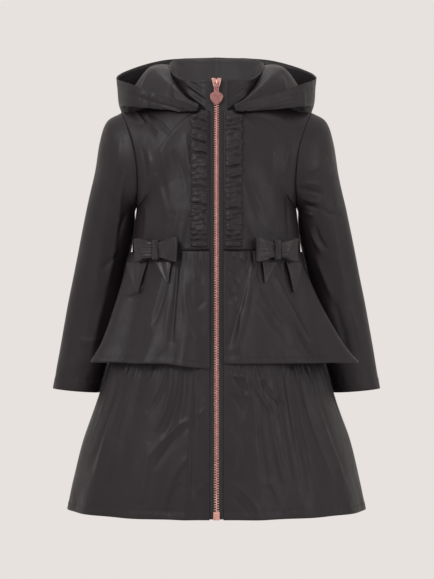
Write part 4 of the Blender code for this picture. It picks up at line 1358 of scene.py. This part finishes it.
def rounded_plate(name, finish, outline, holes, thick, place_at, body, node):
    """A plate with rounded edges from an outline in x and z, standing in the coat's front."""
    curve = bpy.data.curves.new(name, "CURVE")
    curve.dimensions = "2D"
    curve.fill_mode = "BOTH"
    curve.extrude = thick / 2 - METAL_ROUND
    curve.bevel_depth = METAL_ROUND
    curve.bevel_resolution = 2
    curve.offset = -METAL_ROUND
    for loop in [outline] + holes:
        spline = curve.splines.new("POLY")
        spline.points.add(len(loop) - 1)
        spline.use_cyclic_u = True
        for spot, (x, z) in zip(spline.points, loop):
            spot.co = (x, z, 0, 1)
    helper = bpy.data.objects.new(name + "_outline", curve)
    bpy.context.scene.collection.objects.link(helper)
    bpy.context.view_layer.update()
    mesh = bpy.data.meshes.new_from_object(helper.evaluated_get(bpy.context.evaluated_depsgraph_get()))
    bpy.data.objects.remove(helper)
    for vertex in mesh.vertices:
        x, up, out = vertex.co
        vertex.co = Vector((x, -out, up)) + Vector(place_at)
    mesh.update()
    piece(name, mesh, finish, body, node)


def zip_tape(side, word):
    """A woven tape from the cord under the teeth to behind the front's edge."""
    across, down = mesh_of(220, 12)
    z = COLLAR_TOP_Z - 0.001 + (HEM_Z - COLLAR_TOP_Z + 0.002) * down
    x = TAPE_INNER_X + (TAPE_OUTER_X - TAPE_INNER_X) * across
    cord = 0.0007 * np.exp(-(((across - 0.04) / 0.07) ** 2))
    grid = points(x, -front_depth(z) + TAPE_BEHIND - cord, z)
    grid = to_side(side, grid)[0]
    shell("tape_" + word, grid, side < 0, TAPE, "zip_tape_" + word, wall=TAPE_THICK)


def zip_metal():
    face = -float(front_depth(PIVOT_Z))
    thick = SLIDER_FRONT + SLIDER_BACK
    middle = face - (SLIDER_FRONT - SLIDER_BACK) / 2
    foot = (0, middle, SLIDER_FOOT_Z)
    rounded_plate("slider_body", ROSE, both_sides(SLIDER_HALF), [], thick, foot, "root", "zip_slider")
    front = face - SLIDER_FRONT
    hole = [
        (-TAB_HOLE_HALF_WIDTH, -TAB_BAR),
        (TAB_HOLE_HALF_WIDTH, -TAB_BAR),
        (TAB_HOLE_HALF_WIDTH, TAB_HOLE_FOOT),
        (-TAB_HOLE_HALF_WIDTH, TAB_HOLE_FOOT),
    ]
    pivot = (0, front - PIVOT_OUT, PIVOT_Z)
    tab = both_sides(TAB_HALF)
    # The pull tab takes the darker copy of the rose gold, whose darker colour is painted shade.
    rounded_plate("pull_tab", SHADED_ROSE, tab, [hole], TAB_THICK, pivot, "pull", "zip_pull_tab")
    for node in ("zip_bridge", "zip_box"):
        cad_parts[node].data.materials.clear()
        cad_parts[node].data.materials.append(ROSE)


def stitch_row(name, grid, facing, away, from_top=False, closed=False):
    """Stitches along the row that lies about a length from the foot or the top, half way across."""
    top, foot, _, _ = spans(grid)
    lengths = (top if from_top else foot)[:, grid.shape[1] // 2]
    row = int(np.argmin(np.abs(lengths - away)))
    path, normals = grid[row], facing[row]
    if closed:
        path = np.concatenate([path, path[:1]])
        normals = np.concatenate([normals, normals[:1]])
    stitches(name, path, normals)


def stitch_column(name, grid, facing, from_edge, last=False, rows=slice(None)):
    _, _, first, end = spans(grid)
    away = (end if last else first)[grid.shape[0] // 2]
    column = int(np.argmin(np.abs(away - from_edge)))
    stitches(name, grid[rows, column], facing[rows, column])


def dress():
    """Every cloth piece with its sewing."""
    stitch_row("stitches_back_waist", *bodice_back(), WAIST_STITCH_BACK)
    stitch_row("stitches_collar_edge", *collar(), COLLAR_BAND, from_top=True)
    for side, word in SIDES:
        front = bodice_front(side, word)
        stitch_row("stitches_front_waist_" + word, *front, WAIST_STITCH_FRONT)
        stitch_column("stitches_front_edge_" + word, *front, EDGE_STITCH, rows=slice(34, None))
        stitch_row("stitches_cuff_" + word, *sleeve(side, word), CUFF_HEM, closed=True)
        stitch_row("stitches_hood_rim_" + word, *hood(side, word), HOOD_BAND, from_top=True)
        ruche = strip(side, word)
        stitch_column("stitches_strip_outer_" + word, *ruche, STRIP_STITCH, last=True)
        stitch_column("stitches_strip_inner_" + word, *ruche, STRIP_STITCH)
        tier_front("hip_yoke_" + word, "yoke_front_" + word, side, YOKE, None, (), YOKE_WIDTH, False)
        for tier_name, tier, gathers, creases, width in (
            ("peplum_", PEPLUM, PEPLUM_GATHERS, PEPLUM_FRONT_CREASES, PEPLUM_FRONT_WIDTH),
            ("skirt_", SKIRT, SKIRT_GATHERS, SKIRT_FRONT_CREASES, SKIRT_FRONT_WIDTH),
        ):
            name, node = tier_name + word, tier_name + "front_" + word
            panel = tier_front(name, node, side, tier, gathers, creases, width, True)
            stitch_row("stitches_" + name, *panel, HEM_BAND)
            stitch_column("stitches_" + tier_name + "edge_" + word, *panel, EDGE_STITCH)
    tier_back("hip_yoke_back", "yoke_back", YOKE, None, (), YOKE_WIDTH, False)
    for tier_name, tier, gathers, creases, width in (
        ("peplum_", PEPLUM, PEPLUM_GATHERS, PEPLUM_BACK_CREASES, PEPLUM_BACK_WIDTH),
        ("skirt_", SKIRT, SKIRT_GATHERS, SKIRT_BACK_CREASES, SKIRT_BACK_WIDTH),
    ):
        panel = tier_back(tier_name + "rear", tier_name + "back", tier, gathers, creases, width, True)
        stitch_row("stitches_" + tier_name + "rear", *panel, HEM_BAND)
    bows()


# The cut of each cloth piece that shows: width and length in metres, share of that rectangle that the
# piece covers, how it is held, and what it lies on
SHEETS = {
    "front_{}": (0.180, 0.320, 0.64, "draped", ()),
    "sleeve_shell_{}": (0.420, 0.470, 0.52, "hung", ()),
    "hood_shell_{}": (0.420, 0.350, 0.50, "draped", ()),
    "ruched_strip_shell_{}": (0.028, 0.310, 1.00, "gathered", ("front_{}",)),
    "hip_yoke_{}": (0.205, 0.142, 0.90, "hung", ()),
    "peplum_{}": (0.340, 0.190, 0.72, "gathered", ()),
    "skirt_{}": (0.360, 0.272, 0.86, "gathered", ()),
    "bow_{}_loop_outer": (0.080, 0.036, 0.90, "folded", ()),
    "bow_{}_loop_inner": (0.080, 0.036, 0.90, "folded", ()),
    "bow_{}_band": (0.038, 0.030, 1.00, "folded", ()),
    "bow_{}_end_outer": (0.044, 0.056, 0.50, "hung", ()),
    "bow_{}_end_inner": (0.030, 0.040, 0.50, "hung", ()),
    "tape_{}": (0.0165, 0.660, 1.00, "hung", ()),
}
WHOLE_SHEETS = {
    "back": (0.360, 0.362, 0.70, "draped", ()),
    "collar_shell": (0.500, 0.075, 0.60, "folded", ()),
    "hip_yoke_back": (0.415, 0.142, 0.90, "hung", ()),
    "peplum_rear": (0.560, 0.180, 0.82, "gathered", ()),
    "skirt_rear": (0.720, 0.272, 0.86, "gathered", ()),
}


def declare_sheets():
    """Runs through the size each cloth piece was cut to, and does nothing with it."""
    entries = [(name, sizes) for name, sizes in WHOLE_SHEETS.items()]
    for word in ("left", "right"):
        entries += [(name.format(word), sizes) for name, sizes in SHEETS.items()]
    for name, (width, length, share, held, lies_on) in entries:
        word = "left" if "left" in name else "right"


def stage():
    """A pale floor below the coat, soft lights round it, and the camera at the photo's place."""
    mesh = bpy.data.meshes.new("floor")
    turns = [math.tau * k / 96 for k in range(96)]
    rim = [(FLOOR_RADIUS * math.cos(t), FLOOR_RADIUS * math.sin(t), FLOOR_Z) for t in turns]
    mesh.from_pydata(rim, [], [tuple(range(96))])
    floor = bpy.data.objects.new("floor", mesh)
    paint = Nodes("pale floor", "")
    tone = paint.noise(paint.where, 1.5, 2)
    colour = paint.colours(tone, (0.80, 0.765, 0.745), (0.81, 0.775, 0.755))
    paint.join(colour, paint.shader.inputs["Base Color"])
    paint.shader.inputs["Roughness"].default_value = 0.9
    mesh.materials.append(paint.material)
    bpy.context.scene.collection.objects.link(floor)
    bpy.context.scene.view_settings.view_transform = "Standard"
    world = bpy.data.worlds.new("studio")
    world.use_nodes = True
    world.node_tree.nodes["Background"].inputs["Color"].default_value = (0.80, 0.76, 0.735, 1)
    world.node_tree.nodes["Background"].inputs["Strength"].default_value = 1.0
    bpy.context.scene.world = world
    area_light("key", (-1.3, -2.0, 1.3), 0.9, 27, (0, 0, -0.25))
    area_light("fill", (1.8, -1.7, 0.2), 1.0, 9, (0, 0, -0.30))
    area_light("top", (0.0, 0.3, 2.0), 1.0, 8, (0, 0, -0.20))
    camera = bpy.data.cameras.new("camera")
    camera.lens = CAMERA_LENS
    eye = bpy.data.objects.new("camera", camera)
    eye.location = CAMERA_AT
    eye.rotation_euler = (math.pi / 2, 0, 0)
    bpy.context.scene.collection.objects.link(eye)
    bpy.context.scene.camera = eye


def area_light(name, place_at, size, power, target):
    light = bpy.data.lights.new(name, "AREA")
    light.size = size
    light.energy = power
    lamp = bpy.data.objects.new(name, light)
    lamp.location = place_at
    lamp.rotation_euler = (Vector(target) - Vector(place_at)).to_track_quat("-Z", "Y").to_euler()
    bpy.context.scene.collection.objects.link(lamp)


dress()
for side, word in SIDES:
    zip_tape(side, word)
zip_teeth()
zip_metal()
declare_sheets()
stage()
